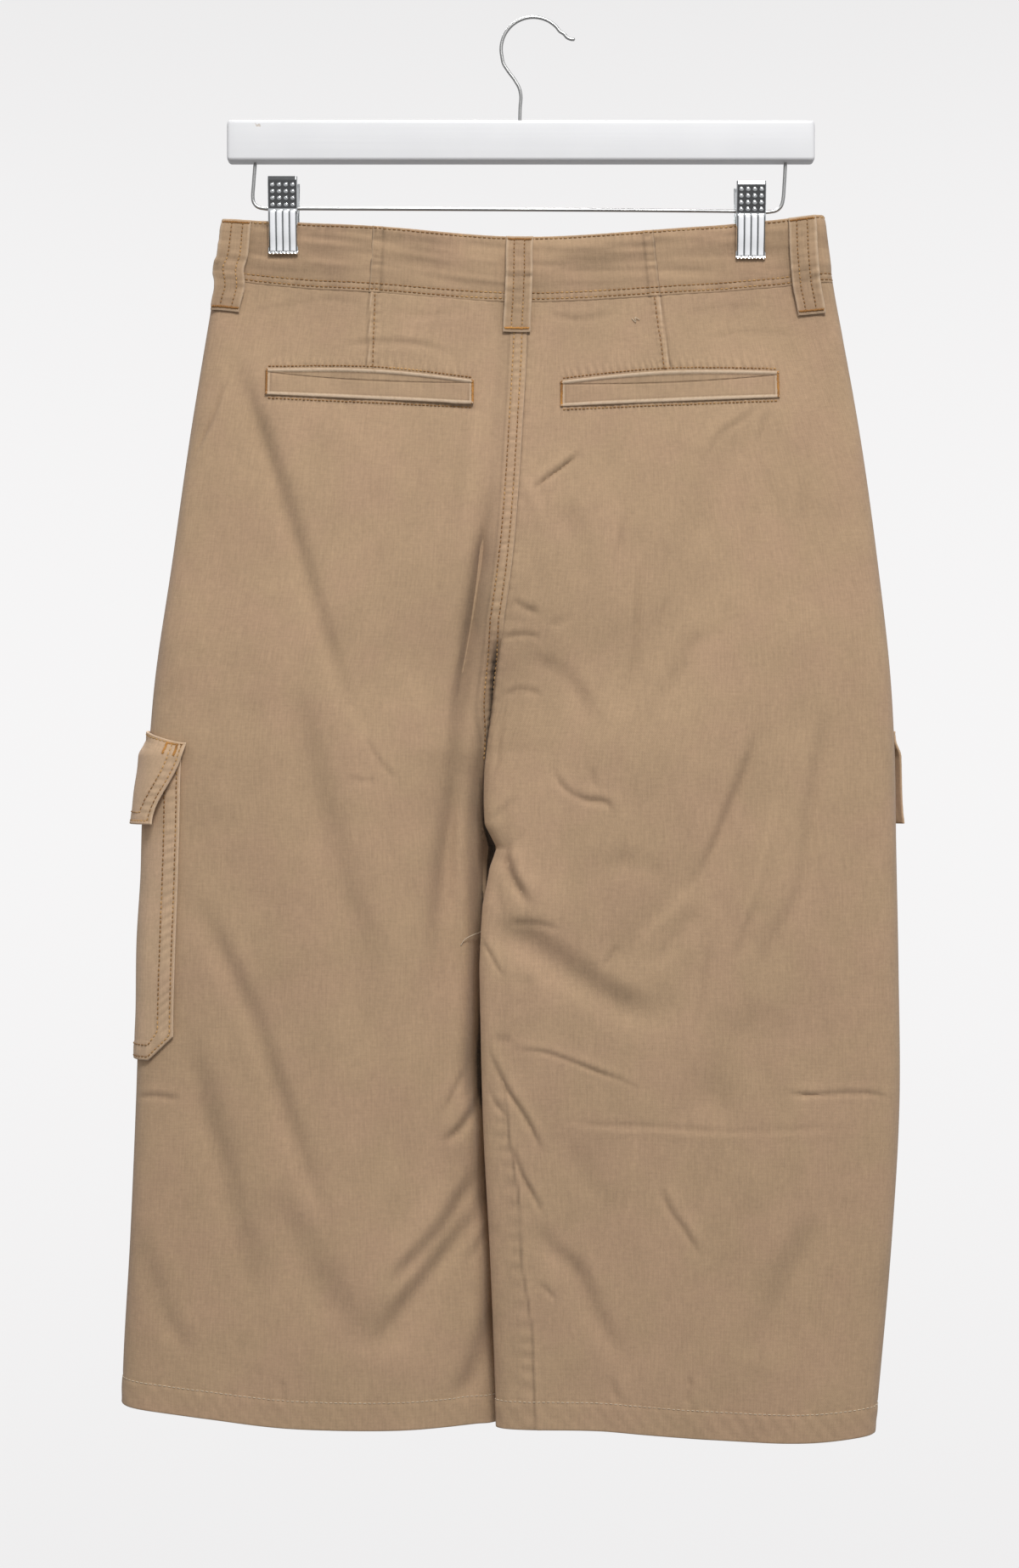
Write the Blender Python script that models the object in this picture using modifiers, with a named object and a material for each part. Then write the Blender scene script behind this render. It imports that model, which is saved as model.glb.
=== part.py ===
"""Three-quarter length cargo shorts, clipped by the waistband to a hanger.

+Z is up and the back of the shorts faces -Y. The origin is where the hanger's hook
rests, so everything hangs below it. Sizes are in millimetres and become metres when a
mesh is made. "left" and "right" are those of somebody looking at the back, and so also
the wearer's.

The cloth is one skin, given by ring(). At each height it runs round one side of the
garment: w = -1 is the seam at the back (the seat seam, then the inseam), w = 0 the outer
fold and w = 1 the seam at the front. Every sewn piece is a stretch of that skin with its
own thickness, moved out by what lies under it.
"""
import bpy
import bmesh
import numpy as np
from math import cos, pi, radians, sin
from mathutils import Vector

MM = 0.001
LEFT, RIGHT = -1, 1
BACK, FRONT = -1, 1

# ------------------------------------------------------------------ cloth
CLOTH = 1.5                 # wall of a body panel
BAND = 2.4                  # waistband, a folded double layer
POCKET = 2.0                # cargo pocket bag and flap
STRIP = 1.3                 # welts, facings and the fly
LOOP = 1.8                  # belt loops
SEAM_GAP = 0.3              # between pieces sewn edge to edge
LIE_GAP = 0.45              # between a piece and the one it lies on

# Heights of the skin's sections, with the x of both outer folds, the x of the centre seam
# and half the depth between front and back.
SECTIONS = (
    # z, left_fold, right_fold, centre, half_depth
    (-125, -201.5, 189.2, -4.0, 7),
    (-178, -208.2, 196.0, -4.4, 11),
    (-222, -215.4, 204.4, -5.8, 16),
    (-266, -222.6, 212.2, -8.2, 21),
    (-355, -235.4, 224.8, -14.8, 26),
    (-444, -248.0, 234.2, -27.6, 28),
    (-480, -250.8, 236.0, -31.5, 28),
    (-540, -253.0, 237.0, -32.5, 27),
    (-622, -256.6, 238.6, -32.5, 26),
    (-711, -259.4, 239.2, -30.0, 25),
    (-800, -263.2, 234.2, -26.0, 24),
    (-890, -268.0, 226.4, -22.0, 23),
    (-932, -268.6, 222.4, -20.0, 22),
)
# Inner edges of the two legs below the crotch. The left leg tucks in behind the right one:
# tuck is how far each inner edge moves, to the front on the left and to the back on the right.
INSEAMS = (
    # z, left_inner, right_inner, tuck
    (-480, -32.5, -30.5, 0),
    (-495, -33.2, -32.0, 2.4),
    (-515, -32.4, -32.8, 5.4),
    (-545, -29.8, -31.6, 8.4),
    (-600, -26.5, -33.6, 10.5),
    (-711, -24.0, -32.4, 10.5),
    (-820, -19.0, -27.0, 10.5),
    (-932, -14.5, -22.8, 10.5),
)
# The waistband's upper edge and the seam under it, from the left fold to the right one.
WAIST = (
    # x, top, seam
    (-210, -132.0, -171.0),
    (-164, -133.4, -175.5),
    (-104, -137.4, -180.8),
    (-8, -144.6, -187.6),
    (78, -140.0, -183.4),
    (140, -134.2, -177.6),
    (198, -129.0, -173.2),
)
# The hem's height across both legs.
HEM = (
    # x, z
    (-270, -906.5),
    (-214, -912.7),
    (-164, -918.3),
    (-115, -920.2),
    (-25, -919.8),
    (35, -920.4),
    (116, -926.0),
    (180, -929.0),
    (224, -925.4),
)
SEAM_LEVEL, HEM_LEVEL = -180, -920      # levels that follow the waist seam and the hem
WAIST_FADE, HEM_FADE = 160, 150         # how far each one's slant reaches
FRONT_DROP = 4                          # how much lower the waist is at the front
BLEND_START, CROTCH = -395, -480        # where the trunk starts to become two legs
SEAM_SPREAD = 1.0                       # each leg's distance from the crotch seam
TUCK_REACH = 75                         # how far from the inner edge the tuck fades
FOLD_ROUND, FOLD_REACH = 3.6, 9         # radius and reach of the roll in the outer folds

# The large folds of cloth. A positive depth is a trough, a negative one a ridge.
FOLDS = (
    # face, x0, z0, x1, z1, bow, width, depth
    (BACK, -26, -300, -52, -665, -15, 13, 9.0),         # beside the seat seam
    (BACK, -199, -216, -87, -497, -6, 13, 4.0),         # from the waist down the left leg
    (BACK, -156, -434, -103, -700, 5, 17, 4.5),
    (BACK, -200, -566, -130, -785, 4, 15, 4.0),
    (BACK, -226, -692, -168, -840, 4, 14, 3.0),
    (BACK, -35, -735, -112, -875, 17, 15, 6.5),         # swag at the left knee
    (BACK, 146, -480, 44, -628, 12, 15, 5.0),           # across the right thigh
    (BACK, -20, -590, 100, -660, 12, 17, 5.0),
    (BACK, 58, -330, 62, -460, 6, 16, 3.5),
    (BACK, 150, -640, 108, -722, 8, 18, 4.0),
    (BACK, 196, -760, 146, -880, 8, 18, 3.5),
    (BACK, 4, -780, 70, -885, 8, 17, 3.5),
    (FRONT, -52, -330, -66, -640, 10, 14, 7.0),         # beside the front seam
    (FRONT, -60, -420, -185, -340, -12, 16, 4.5),       # two whiskers from the crotch
    (FRONT, 20, -415, 160, -345, 12, 16, 4.5),
    (FRONT, 8, -520, 22, -690, -8, 15, 5.0),
    (FRONT, 175, -725, 120, -870, 8, 17, 4.5),
    (FRONT, -200, -720, -120, -870, -8, 17, 4.5),
    (FRONT, 60, -760, 20, -890, 8, 16, 4.0),
)

# ------------------------------------------------------------- small pieces
BACK_COLUMNS, FRONT_COLUMNS = 20, 14
ROW_STOPS = ((-180, 0), (-390, 8), (-545, 16), (-920, 28))     # level, row number
HIP_ROWS = 9                            # rows of a panel's hip solid; the rest is the leg's
SIDE_SEAM = {LEFT: 0, RIGHT: 30}        # the side seam's way past the fold, low down
SIDE_SEAM_FULL = -400                   # level where it is that far
SLASH_TOP, SLASH_END = 62, -330         # hand pocket: width at the waist, lower end
DARTS = {                               # back seams: x at DART_TOP and at the waist seam
    LEFT: (-103.6, -105.8),
    RIGHT: (76.8, 81.2),
}
DART_TOP = -138
WELTS = {                               # corners of the back pockets' welts
    # side: (x_inner, top, bottom), (x_outer, top, bottom)
    LEFT: ((-38.6, -240.2, -256.0), (-174.4, -231.6, -248.9)),
    RIGHT: ((17.2, -240.8, -257.6), (160.0, -233.2, -250.8)),
}
BELT_LOOPS = (
    # name, side, measured from, distance at the top, at the bottom
    ("belt_loop_back_left", LEFT, 0, -11.5, -12.5),
    ("belt_loop_back_right", RIGHT, 0, -17.5, -21.0),
    ("belt_loop_back_centre", RIGHT, -1, -4.8, -5.6),
    ("belt_loop_front_left", LEFT, 1, -92.0, -92.0),
    ("belt_loop_front_right", RIGHT, 1, -92.0, -92.0),
)
LOOP_WIDTH, LOOP_BELOW, LOOP_BOW = 17.5, 21, 1.6
CARGO = {
    # side: back edge and front edge, measured round the leg from the outer fold
    LEFT: (-35, 134),
    RIGHT: (6, 172),
}
CARGO_TOP, CARGO_BOTTOM, CARGO_CHAMFER = -486, -681, 16
CARGO_PUFF = 3                          # how far the bag stands off in its middle
FLAP_TOP, FLAP_BOTTOM, FLAP_SLANT = -467, -528, 16
FLAP_SAG = 8                            # how much lower its sewn edge is at the back corner
FLAP_LIFT = 4.5                         # how far the flap's lower edge kicks out
FLY_WIDTH, FLY_BOTTOM = 38, -325
ZIP_WIDTH, ZIP_THICK = 24, 1.2
BAND_ROWS = 4                           # rows of points up the band
WAIST_LAP, LAP_END = 30, 8              # how far the band's front ends run past the centre
LAP_RAMP = 26                           # stretch in which each of them leaves the skin
LAP_LIFT = 1.55                         # how far each of those ends moves in or out
BUTTON_RADIUS, BUTTON_THICK = 8.5, 3

# ------------------------------------------------------------------ hanger
CLIPS = (-163.6, 142.1)                 # x of the clips' middles
CLIP_Z = (-106.0, -109.0)               # z of their tops
CLIP_WIDTH, CLIP_HEIGHT, CLIP_SHEET = 19.3, 49.6, 1.1
JAW_GAP = 3.6                           # from the middle plane to a jaw's tip
PINCH_HALF, PINCH_REACH = 12, 26        # cloth held flat beside a clip
PINCH_TOP, PINCH_END = -165, -262
PINCH_DEPTH = 1.5                       # half the depth of the cloth in a clip
BAR = (-200.4, 184.1, -94.4, -67.7)     # left, right, bottom, top
BAR_DEPTH = 13
RAIL_RADIUS, HOOK_RADIUS = 1.15, 1.1
HOOK_BEND = 21.1                        # radius of the hook's middle line


# --------------------------------------------------------- numbers to curves
def smooth(at, places, values):
    """Cubic curve through a table's points, with its slopes from their neighbours."""
    places, values = np.asarray(places, float), np.asarray(values, float)
    if places[0] > places[-1]:
        places, values = places[::-1], values[::-1]
    slopes = np.gradient(values, places)
    at = np.clip(at, places[0], places[-1])
    cell = np.clip(np.searchsorted(places, at) - 1, 0, len(places) - 2)
    span = places[cell + 1] - places[cell]
    t = (at - places[cell]) / span
    start, end = values[cell], values[cell + 1]
    rise, fall = slopes[cell] * span, slopes[cell + 1] * span
    return (start * (1 + 2 * t) * (1 - t) ** 2 + rise * t * (1 - t) ** 2
            + end * t * t * (3 - 2 * t) + fall * t * t * (t - 1))


def ease(t):
    """Smooth step from 0 to 1."""
    t = np.clip(t, 0, 1)
    return t * t * (3 - 2 * t)


def column(table, number):
    return [row[number] for row in table]


def outer_fold(side, z):
    return smooth(z, column(SECTIONS, 0), column(SECTIONS, 1 if side == LEFT else 2))


def centre_seam(z):
    return smooth(z, column(SECTIONS, 0), column(SECTIONS, 3))


def half_depth(z):
    return smooth(z, column(SECTIONS, 0), column(SECTIONS, 4))


def inner_edge(side, z):
    """x of a leg's inner edge; above the crotch it keeps close to the centre seam."""
    below = smooth(z, column(INSEAMS, 0), column(INSEAMS, 1 if side == LEFT else 2))
    return np.where(z > CROTCH, centre_seam(z) + side * SEAM_SPREAD, below)


def tuck(side, z):
    return -side * smooth(z, column(INSEAMS, 0), column(INSEAMS, 3))


def fold_depth(face, x, z):
    """All folds of one face: each is a soft trough along an arc between two points."""
    depth = np.zeros(np.broadcast(x, z).shape)
    for fold_face, x0, z0, x1, z1, bow, width, deep in FOLDS:
        if fold_face != face:
            continue
        run, rise = x1 - x0, z1 - z0
        length = np.hypot(run, rise)
        t = ((x - x0) * run + (z - z0) * rise) / length ** 2
        inside = np.clip(t, 0, 1)
        bend = 4 * inside * (1 - inside)
        off = ((z - z0) * run - (x - x0) * rise) / length - bow * bend
        depth += deep * np.exp(-(off / width) ** 2) * ease(1.6 * bend)
    return depth


def ring(side, w, z):
    """Middle of the cloth round one side of the garment, as x and y.

    Above the crotch the section is half of a flat oval about the centre seam, and below
    it a whole oval round the leg. Between them the two are blended. The outer fold has a
    small round roll of its own, the clips press the waist flat, and the folds push in.
    """
    centre, outer, inner = centre_seam(z), outer_fold(side, z), inner_edge(side, z)
    leg = ease((BLEND_START - z) / (BLEND_START - CROTCH))
    x_trunk = centre + (outer - centre) * np.cos(w * pi / 2)
    x_leg = (inner + outer) / 2 + (outer - inner) / 2 * np.cos(w * pi)
    x = (1 - leg) * x_trunk + leg * x_leg
    y = half_depth(z) * ((1 - leg) * np.sin(w * pi / 2) + leg * np.sin(w * pi))
    from_fold = np.abs(outer - x)
    y = y + np.sign(w) * np.sqrt(2 * FOLD_ROUND * from_fold) * np.exp(-from_fold / (2 * FOLD_REACH))
    held = sum(np.exp(-(np.maximum(np.abs(x - clip) - PINCH_HALF, 0) / PINCH_REACH) ** 2)
               for clip in CLIPS) * ease((z - PINCH_END) / (PINCH_TOP - PINCH_END))
    y = (1 - held) * y + held * PINCH_DEPTH * np.tanh(y / PINCH_DEPTH)
    free = 1 - np.exp(-(y / 7) ** 2)
    deep = np.where(y < 0, fold_depth(BACK, x, z), fold_depth(FRONT, x, z))
    y = y - np.sign(y) * free * deep
    near = 1 - ease(np.abs(x - inner) / TUCK_REACH)
    return x, y + tuck(side, z) * near * (z < CROTCH)


def skin(side, w, z, lift=0):
    """Points of the cloth, moved out by lift along the cloth's own normal."""
    w, z = np.broadcast_arrays(np.asarray(w, float), np.asarray(z, float))
    dw, dz = 1e-3, 0.05
    x, y = ring(side, w, z)
    across = np.subtract(ring(side, w + dw, z), ring(side, w - dw, z))
    upward = np.subtract(ring(side, w, z + dz), ring(side, w, z - dz))
    normal = np.cross(np.stack([across[0], across[1], 0 * x], -1),
                      np.stack([upward[0], upward[1], 2 * dz + 0 * x], -1)) * side
    normal /= np.linalg.norm(normal, axis=-1, keepdims=True)
    return np.stack([x, y, z], -1) + normal * np.asarray(lift, float)[..., None]


def measured(side, z):
    """Many values of w at one height and the way round the ring to each from w = 0."""
    w = np.linspace(-1.3, 1.3, 1301)
    x, y = ring(side, w, np.full_like(w, z))
    length = np.concatenate([[0], np.cumsum(np.hypot(np.diff(x), np.diff(y)))])
    return w, length - np.interp(0, w, length)


def w_at(side, distance, z, start=0):
    """w of the point at a distance round the ring from w = start, one height at a time."""
    w, length = measured(side, z)
    return np.interp(distance, length - np.interp(start, w, length), w)


def height(side, w, level):
    """Real height of a level: near the waist it follows the seam, near the end the hem."""
    x = ring(side, w, level)[0]
    waist = smooth(x, column(WAIST, 0), column(WAIST, 2)) - SEAM_LEVEL
    hem = smooth(x, column(HEM, 0), column(HEM, 1)) - HEM_LEVEL
    waist = waist - FRONT_DROP * np.sin(np.clip(w, 0, 1) * pi / 2) ** 2
    near_waist = 1 - ease((SEAM_LEVEL - level) / WAIST_FADE)
    near_hem = 1 - ease((level - HEM_LEVEL) / HEM_FADE)
    return level + waist * near_waist + hem * near_hem


def band_height(side, w, up, above=0.0):
    """Height in the waistband: up is 0 at its seam and 1 at its upper edge."""
    level = np.full_like(w, SEAM_LEVEL)
    x = ring(side, w, level)[0]
    drop = FRONT_DROP * np.sin(np.clip(w, 0, 1) * pi / 2) ** 2
    top = smooth(x, column(WAIST, 0), column(WAIST, 1)) - drop
    return (1 - up) * height(side, w, level) + up * top + above


# ------------------------------------------------------------- mesh makers
def finish(name, mesh, colour, roughness, metallic=0.0):
    """Link a mesh as one named object with its own material."""
    material = bpy.data.materials.new(name)
    material.use_nodes = True
    shader = material.node_tree.nodes["Principled BSDF"]
    shader.inputs["Base Color"].default_value = (*colour, 1)
    shader.inputs["Roughness"].default_value = roughness
    shader.inputs["Metallic"].default_value = metallic
    mesh.materials.append(material)
    made = bpy.data.objects.new(name, mesh)
    garment.objects.link(made)
    return made


def cloth(name, inner, outer, colour):
    """Closed wall between two grids of points, with its four edges filled."""
    rows, columns = inner.shape[:2]
    points = np.concatenate([outer.reshape(-1, 3), inner.reshape(-1, 3)]) * MM
    number = np.arange(rows * columns).reshape(rows, columns)
    faces = []
    for row in range(rows - 1):
        for col in range(columns - 1):
            quad = [number[row, col], number[row, col + 1],
                    number[row + 1, col + 1], number[row + 1, col]]
            faces.append(quad)
            faces.append([point + rows * columns for point in reversed(quad)])
    edge = [*number[0], *number[1:, -1], *number[-1, -2::-1], *number[-2:0:-1, 0]]
    for one, two in zip(edge, edge[1:] + edge[:1]):
        faces.append([two, one, one + rows * columns, two + rows * columns])
    mesh = bpy.data.meshes.new(name)
    mesh.from_pydata(points.tolist(), [], [[int(point) for point in face] for face in faces])
    work = bmesh.new()
    work.from_mesh(mesh)
    if work.calc_volume(signed=True) < 0:
        bmesh.ops.reverse_faces(work, faces=work.faces)
    work.to_mesh(mesh)
    work.free()
    mesh.shade_smooth()
    mesh.set_sharp_from_angle(angle=radians(40))
    return finish(name, mesh, colour, 0.9)


def sewn(name, side, w, z, thick, lift, colour):
    """A stretch of the skin as a wall, half a seam gap short at each edge."""
    middle = skin(side, w, z, lift)
    inner, outer = skin(side, w, z, lift - thick / 2), skin(side, w, z, lift + thick / 2)
    for border, beside in ((np.s_[0], np.s_[1]), (np.s_[-1], np.s_[-2]),
                           (np.s_[:, 0], np.s_[:, 1]), (np.s_[:, -1], np.s_[:, -2])):
        way = middle[beside] - middle[border]
        way *= SEAM_GAP / 2 / np.linalg.norm(way, axis=-1, keepdims=True)
        inner[border] += way
        outer[border] += way
    return cloth(name, inner, outer, colour)


# ------------------------------------------------------------ body panels
KHAKI, KHAKI_DARK = (0.46, 0.33, 0.21), (0.41, 0.29, 0.18)


def side_word(side):
    return "left" if side == LEFT else "right"


def side_seam(side, level):
    """How far the side seam runs past the outer fold, towards the front."""
    return SIDE_SEAM[side] * ease((SEAM_LEVEL - level) / (SEAM_LEVEL - SIDE_SEAM_FULL))


def slash(side, level):
    """Distance from the fold to the slanted edge of the hand pocket's opening."""
    open_part = np.clip((level - SLASH_END) / (SEAM_LEVEL - SLASH_END), 0, 1)
    return side_seam(side, level) + SLASH_TOP * open_part


def panel_levels():
    rows = np.arange(ROW_STOPS[-1][1] + 1)
    return np.interp(rows, column(ROW_STOPS, 1), column(ROW_STOPS, 0))


def panel_columns(side, level, face):
    """w of a panel's columns at one level."""
    if face == BACK:
        seam = w_at(side, side_seam(side, level), level)
        return np.linspace(-1, seam, BACK_COLUMNS + 1)
    return np.linspace(w_at(side, slash(side, level), level), 1, FRONT_COLUMNS + 1)


def body_panel(side, face):
    """One panel as two solids, one round the hip and one down the leg."""
    levels = panel_levels()
    w = np.array([panel_columns(side, level, face) for level in levels])
    z = height(side, w, np.broadcast_to(levels[:, None], w.shape))
    name = f"{'back' if face == BACK else 'front'}_panel_{side_word(side)}"
    for part, rows in (("hip", slice(0, HIP_ROWS + 1)), ("leg", slice(HIP_ROWS, None))):
        sewn(f"{name}_{part}", side, w[rows], z[rows], CLOTH, 0, KHAKI)


def hand_pocket_facing(side):
    """Cloth seen in the slanted opening; it ends at the front panel's second column."""
    levels = [level for level in panel_levels() if level > SLASH_END - 20]
    w = []
    for level in levels:
        under = panel_columns(side, level, FRONT)[:2]
        w.append([*np.linspace(w_at(side, side_seam(side, level), level), under[0] - 0.01, 6),
                  *under])
    w = np.array(w)
    z = height(side, w, np.broadcast_to(np.array(levels)[:, None], w.shape))
    sink = 1.2 * ease((-250 - z) / 60)          # deeper where the opening meets the fold
    inside = CLOTH / 2 + 0.8 + STRIP / 2 + sink
    sewn(f"front_pocket_facing_{side_word(side)}", side, w, z, STRIP, -inside, KHAKI_DARK)


# ----------------------------------------------------------------- waistband
def back_w(side, x, z):
    """w on the back of the trunk for an x at a height."""
    centre = centre_seam(z)
    return -2 / pi * np.arccos((x - centre) / (outer_fold(side, z) - centre))


def waistband(name, side, start, end, columns, lap=0):
    """One length of the band between two values of w, in rows from its seam to its edge.

    lap moves the end at the front seam out (over) or in (under) where the ends overlap.
    """
    up = np.linspace(0, 1, BAND_ROWS)[:, None]
    w = start + (end - start) * np.linspace(0, 1, columns + 1)[None, :]
    w = np.broadcast_to(w, (BAND_ROWS, columns + 1))
    z = band_height(side, w, up)
    reach = w_at(side, -WAIST_LAP - np.array([LAP_RAMP, 4]), SEAM_LEVEL, 1)
    lift = lap * LAP_LIFT * ease((w - reach[0]) / (reach[1] - reach[0]))
    sewn(name, side, w, z, BAND, lift, KHAKI)


def dart_edge(side):
    """w of the seam that crosses the band at the back, in a column from its seam upwards."""
    top, seam = (back_w(side, x, z) for x, z in zip(DARTS[side], (DART_TOP, SEAM_LEVEL)))
    return (seam + (top - seam) * np.linspace(0, 1, BAND_ROWS))[:, None]


def back_centre_band():
    """The length between the two back seams, across the seat seam."""
    up = np.linspace(0, 1, BAND_ROWS)[:, None]
    halves = []
    for side in (LEFT, RIGHT):
        edge = dart_edge(side)
        w = edge + (-1 - edge) * np.linspace(0, 1, 6)[None, :]
        z = band_height(side, w, up)
        halves.append([skin(side, w, z, lift) for lift in (-BAND / 2, BAND / 2)])
    inner, outer = (np.concatenate([halves[0][layer], halves[1][layer][:, -2::-1]], 1)
                    for layer in (0, 1))
    for grid in (inner, outer):
        grid[:, 0] += (SEAM_GAP / 2, 0, 0)
        grid[:, -1] -= (SEAM_GAP / 2, 0, 0)
        grid[0] += (0, 0, SEAM_GAP / 2)
    cloth("waistband_back_centre", inner, outer, KHAKI)


def waistbands():
    back_centre_band()
    for side, past, lap in ((LEFT, LAP_END, 1), (RIGHT, WAIST_LAP, -1)):
        word = side_word(side)
        waistband(f"waistband_back_{word}", side, dart_edge(side), 0, 9)
        end = w_at(side, past, SEAM_LEVEL, 1)
        waistband(f"waistband_front_{word}", side, 0, end, 15, lap)


def belt_loop(name, side, start, top, bottom):
    """Strip sewn down at both ends, standing a little off the band between them."""
    up = np.linspace(0, 1, 9)
    across = np.linspace(-0.5, 0.5, 5) * LOOP_WIDTH
    w = np.array([w_at(side, bottom + (top - bottom) * u + across,
                       SEAM_LEVEL + 40 * u, start) for u in up])
    seam = band_height(side, w, 0.0 * w, -LOOP_BELOW)
    edge = band_height(side, w, 1.0 + 0.0 * w, -0.6)
    z = seam + (edge - seam) * up[:, None]
    bow = LOOP_BOW * np.sin(pi * up)[:, None] + 0 * w
    base = BAND / 2 + LIE_GAP
    cloth(name, skin(side, w, z, base + bow), skin(side, w, z, base + bow + LOOP), KHAKI)


# -------------------------------------------------------------- back pockets
def back_pocket_welt(side):
    """Narrow welt, worn and slightly curved, across the back panel."""
    (x_in, top_in, low_in), (x_out, top_out, low_out) = WELTS[side]
    along = np.linspace(0, 1, 13)
    x = x_in + (x_out - x_in) * along
    top = top_in + (top_out - top_in) * along + 3.5 * np.sin(pi * along)
    low = low_in + (low_out - low_in) * along
    z = np.stack([top, (2 * top + low) / 3, (top + 2 * low) / 3, low])
    w = back_w(side, np.broadcast_to(x, z.shape), z)
    base = CLOTH / 2 + LIE_GAP
    cloth(f"back_pocket_welt_{side_word(side)}", skin(side, w, z, base + 0 * w),
          skin(side, w, z, base + STRIP + 0 * w), KHAKI_DARK)


# ------------------------------------------------------------- cargo pockets
def pocket_columns(side, level, start, end, first, last, steps=2):
    """w across a pocket: the panels' own columns, and a few steps from them to its edges."""
    own = np.concatenate([panel_columns(side, level, BACK),
                          panel_columns(side, level, FRONT)[1:]])[first:last + 1]
    edge = w_at(side, np.array([start, end]), level)
    return np.concatenate([np.linspace(edge[0], own[0], steps, endpoint=False), own,
                           np.linspace(edge[1], own[-1], 2, endpoint=False)[::-1]])


def columns_between(side, start, end):
    """Numbers of the panels' columns that stay inside a pocket at every height."""
    inside = []
    for level in (FLAP_TOP, CARGO_BOTTOM):
        own = np.concatenate([panel_columns(side, level, BACK),
                              panel_columns(side, level, FRONT)[1:]])
        edge = w_at(side, np.array([start, end]), level)
        inside.append(np.flatnonzero((own > edge[0] + 0.015) & (own < edge[1] - 0.015)))
    return max(row[0] for row in inside), min(row[-1] for row in inside)


def cargo_bag(side):
    """Pocket bag round the outside of the leg, its lower corners cut off."""
    start, end = CARGO[side]
    first, last = columns_between(side, start, end)
    down = np.linspace(0, 1, 10)
    levels = CARGO_TOP + (CARGO_BOTTOM - CARGO_TOP) * down
    w = np.array([pocket_columns(side, z, start, end, first, last) for z in levels])
    way = np.interp(w[-1], *measured(side, CARGO_BOTTOM))
    cut = np.clip(1 - np.minimum(way - start, end - way) / CARGO_CHAMFER, 0, 1)
    z = CARGO_TOP + (CARGO_BOTTOM + CARGO_CHAMFER * cut - CARGO_TOP) * down[:, None]
    along = (w - w[:, :1]) / (w[:, -1:] - w[:, :1])
    puff = CARGO_PUFF * np.sin(pi * along) ** 2 * np.sin(pi * down[:, None]) ** 2
    base = CLOTH / 2 + LIE_GAP + puff
    cloth(f"cargo_pocket_{side_word(side)}", skin(side, w, z, base),
          skin(side, w, z, base + POCKET), KHAKI)


def cargo_flap(side):
    """Flap sewn above the bag; it lies on it and its free edge kicks out."""
    start, end = CARGO[side][0] - 2.0, CARGO[side][1] + 2.0
    first, last = columns_between(side, start + FLAP_SLANT, end)
    z_rows = np.array([FLAP_TOP, FLAP_TOP - 8, FLAP_TOP - 17, -500, -514, FLAP_BOTTOM], float)
    down = (z_rows - FLAP_TOP) / (FLAP_BOTTOM - FLAP_TOP)
    slant = FLAP_SLANT * ease((down - 0.05) / 0.9) * (1 if side == LEFT else 0.2)
    w = np.array([pocket_columns(side, z, start + cut, end, first, last, 4)
                  for z, cut in zip(z_rows, slant)])
    way = np.interp(w[0], *measured(side, FLAP_TOP))
    sag = FLAP_SAG * ease(way / min(start, -1)) if start < -5 else 0 * way
    z = z_rows[:, None] - sag[None, :] * (1 - down[:, None])
    along = (w - w[:, :1]) / (w[:, -1:] - w[:, :1])
    lean = ease((CARGO_TOP + 14 - z) / 12)      # it steps out before the bag's upper edge
    over_bag = (LIE_GAP + POCKET + 1.0) * lean + CARGO_PUFF * lean * np.sin(pi * along) ** 2
    kick = FLAP_LIFT * (down ** 2)[:, None]
    base = CLOTH / 2 + LIE_GAP + over_bag + kick
    cloth(f"cargo_flap_{side_word(side)}", skin(side, w, z, base),
          skin(side, w, z, base + POCKET), KHAKI)


# ----------------------------------------------------------- fly and button
def front_strip(name, side, reach, top_up, bottom, rows, columns, lift, thick, round_end, colour):
    """Strip on the front beside the centre seam, between two distances from it."""
    up = np.linspace(0, 1, rows)
    level = SEAM_LEVEL - top_up + (bottom - SEAM_LEVEL + top_up) * up
    w, z = [], []
    for one, u in zip(level, up):
        narrow = round_end * (1 - np.sqrt(1 - np.clip((u - 0.72) / 0.29, 0, 1) ** 2))
        far = reach[0] + (reach[1] - reach[0]) * narrow
        row = w_at(side, -np.linspace(far, reach[1], columns), one, 1)
        w.append(row)
        z.append(height(side, row, np.full_like(row, one)))
    w, z = np.array(w), np.array(z)
    cloth(name, skin(side, w, z, lift - thick / 2 + 0 * w),
          skin(side, w, z, lift + thick / 2 + 0 * w), colour)


def fly():
    """Placket over the zip on the left front, zip tape inside it and its slider."""
    lift = CLOTH / 2 + LIE_GAP + STRIP / 2
    front_strip("fly_placket", LEFT, (FLY_WIDTH, 0.5), 1.5, FLY_BOTTOM, 10, 5, lift, STRIP,
                0.8, KHAKI)
    inside = -(CLOTH / 2 + LIE_GAP + ZIP_THICK / 2 + 0.4)
    front_strip("zip_tape", LEFT, (ZIP_WIDTH / 2, -ZIP_WIDTH / 2), 4, FLY_BOTTOM + 22, 8, 5,
                inside, ZIP_THICK, 0, (0.30, 0.24, 0.17))
    z = SEAM_LEVEL - 22
    at = skin(LEFT, np.array(1.0), np.array(float(z)), inside - ZIP_THICK / 2 - 2.2)
    bpy.ops.mesh.primitive_cube_add(size=1)
    cube = bpy.context.object
    mesh = cube.data.copy()
    bpy.data.objects.remove(cube)
    for vertex in mesh.vertices:
        size = (8 + 2 * (vertex.co.z > 0), 3, 12)
        vertex.co = Vector([(edge * along + place) * MM
                            for edge, along, place in zip(size, vertex.co, at)])
    slider = finish("zip_slider", mesh, (0.55, 0.45, 0.28), 0.35, 1.0)
    round_edges(slider, 0.6)


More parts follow.
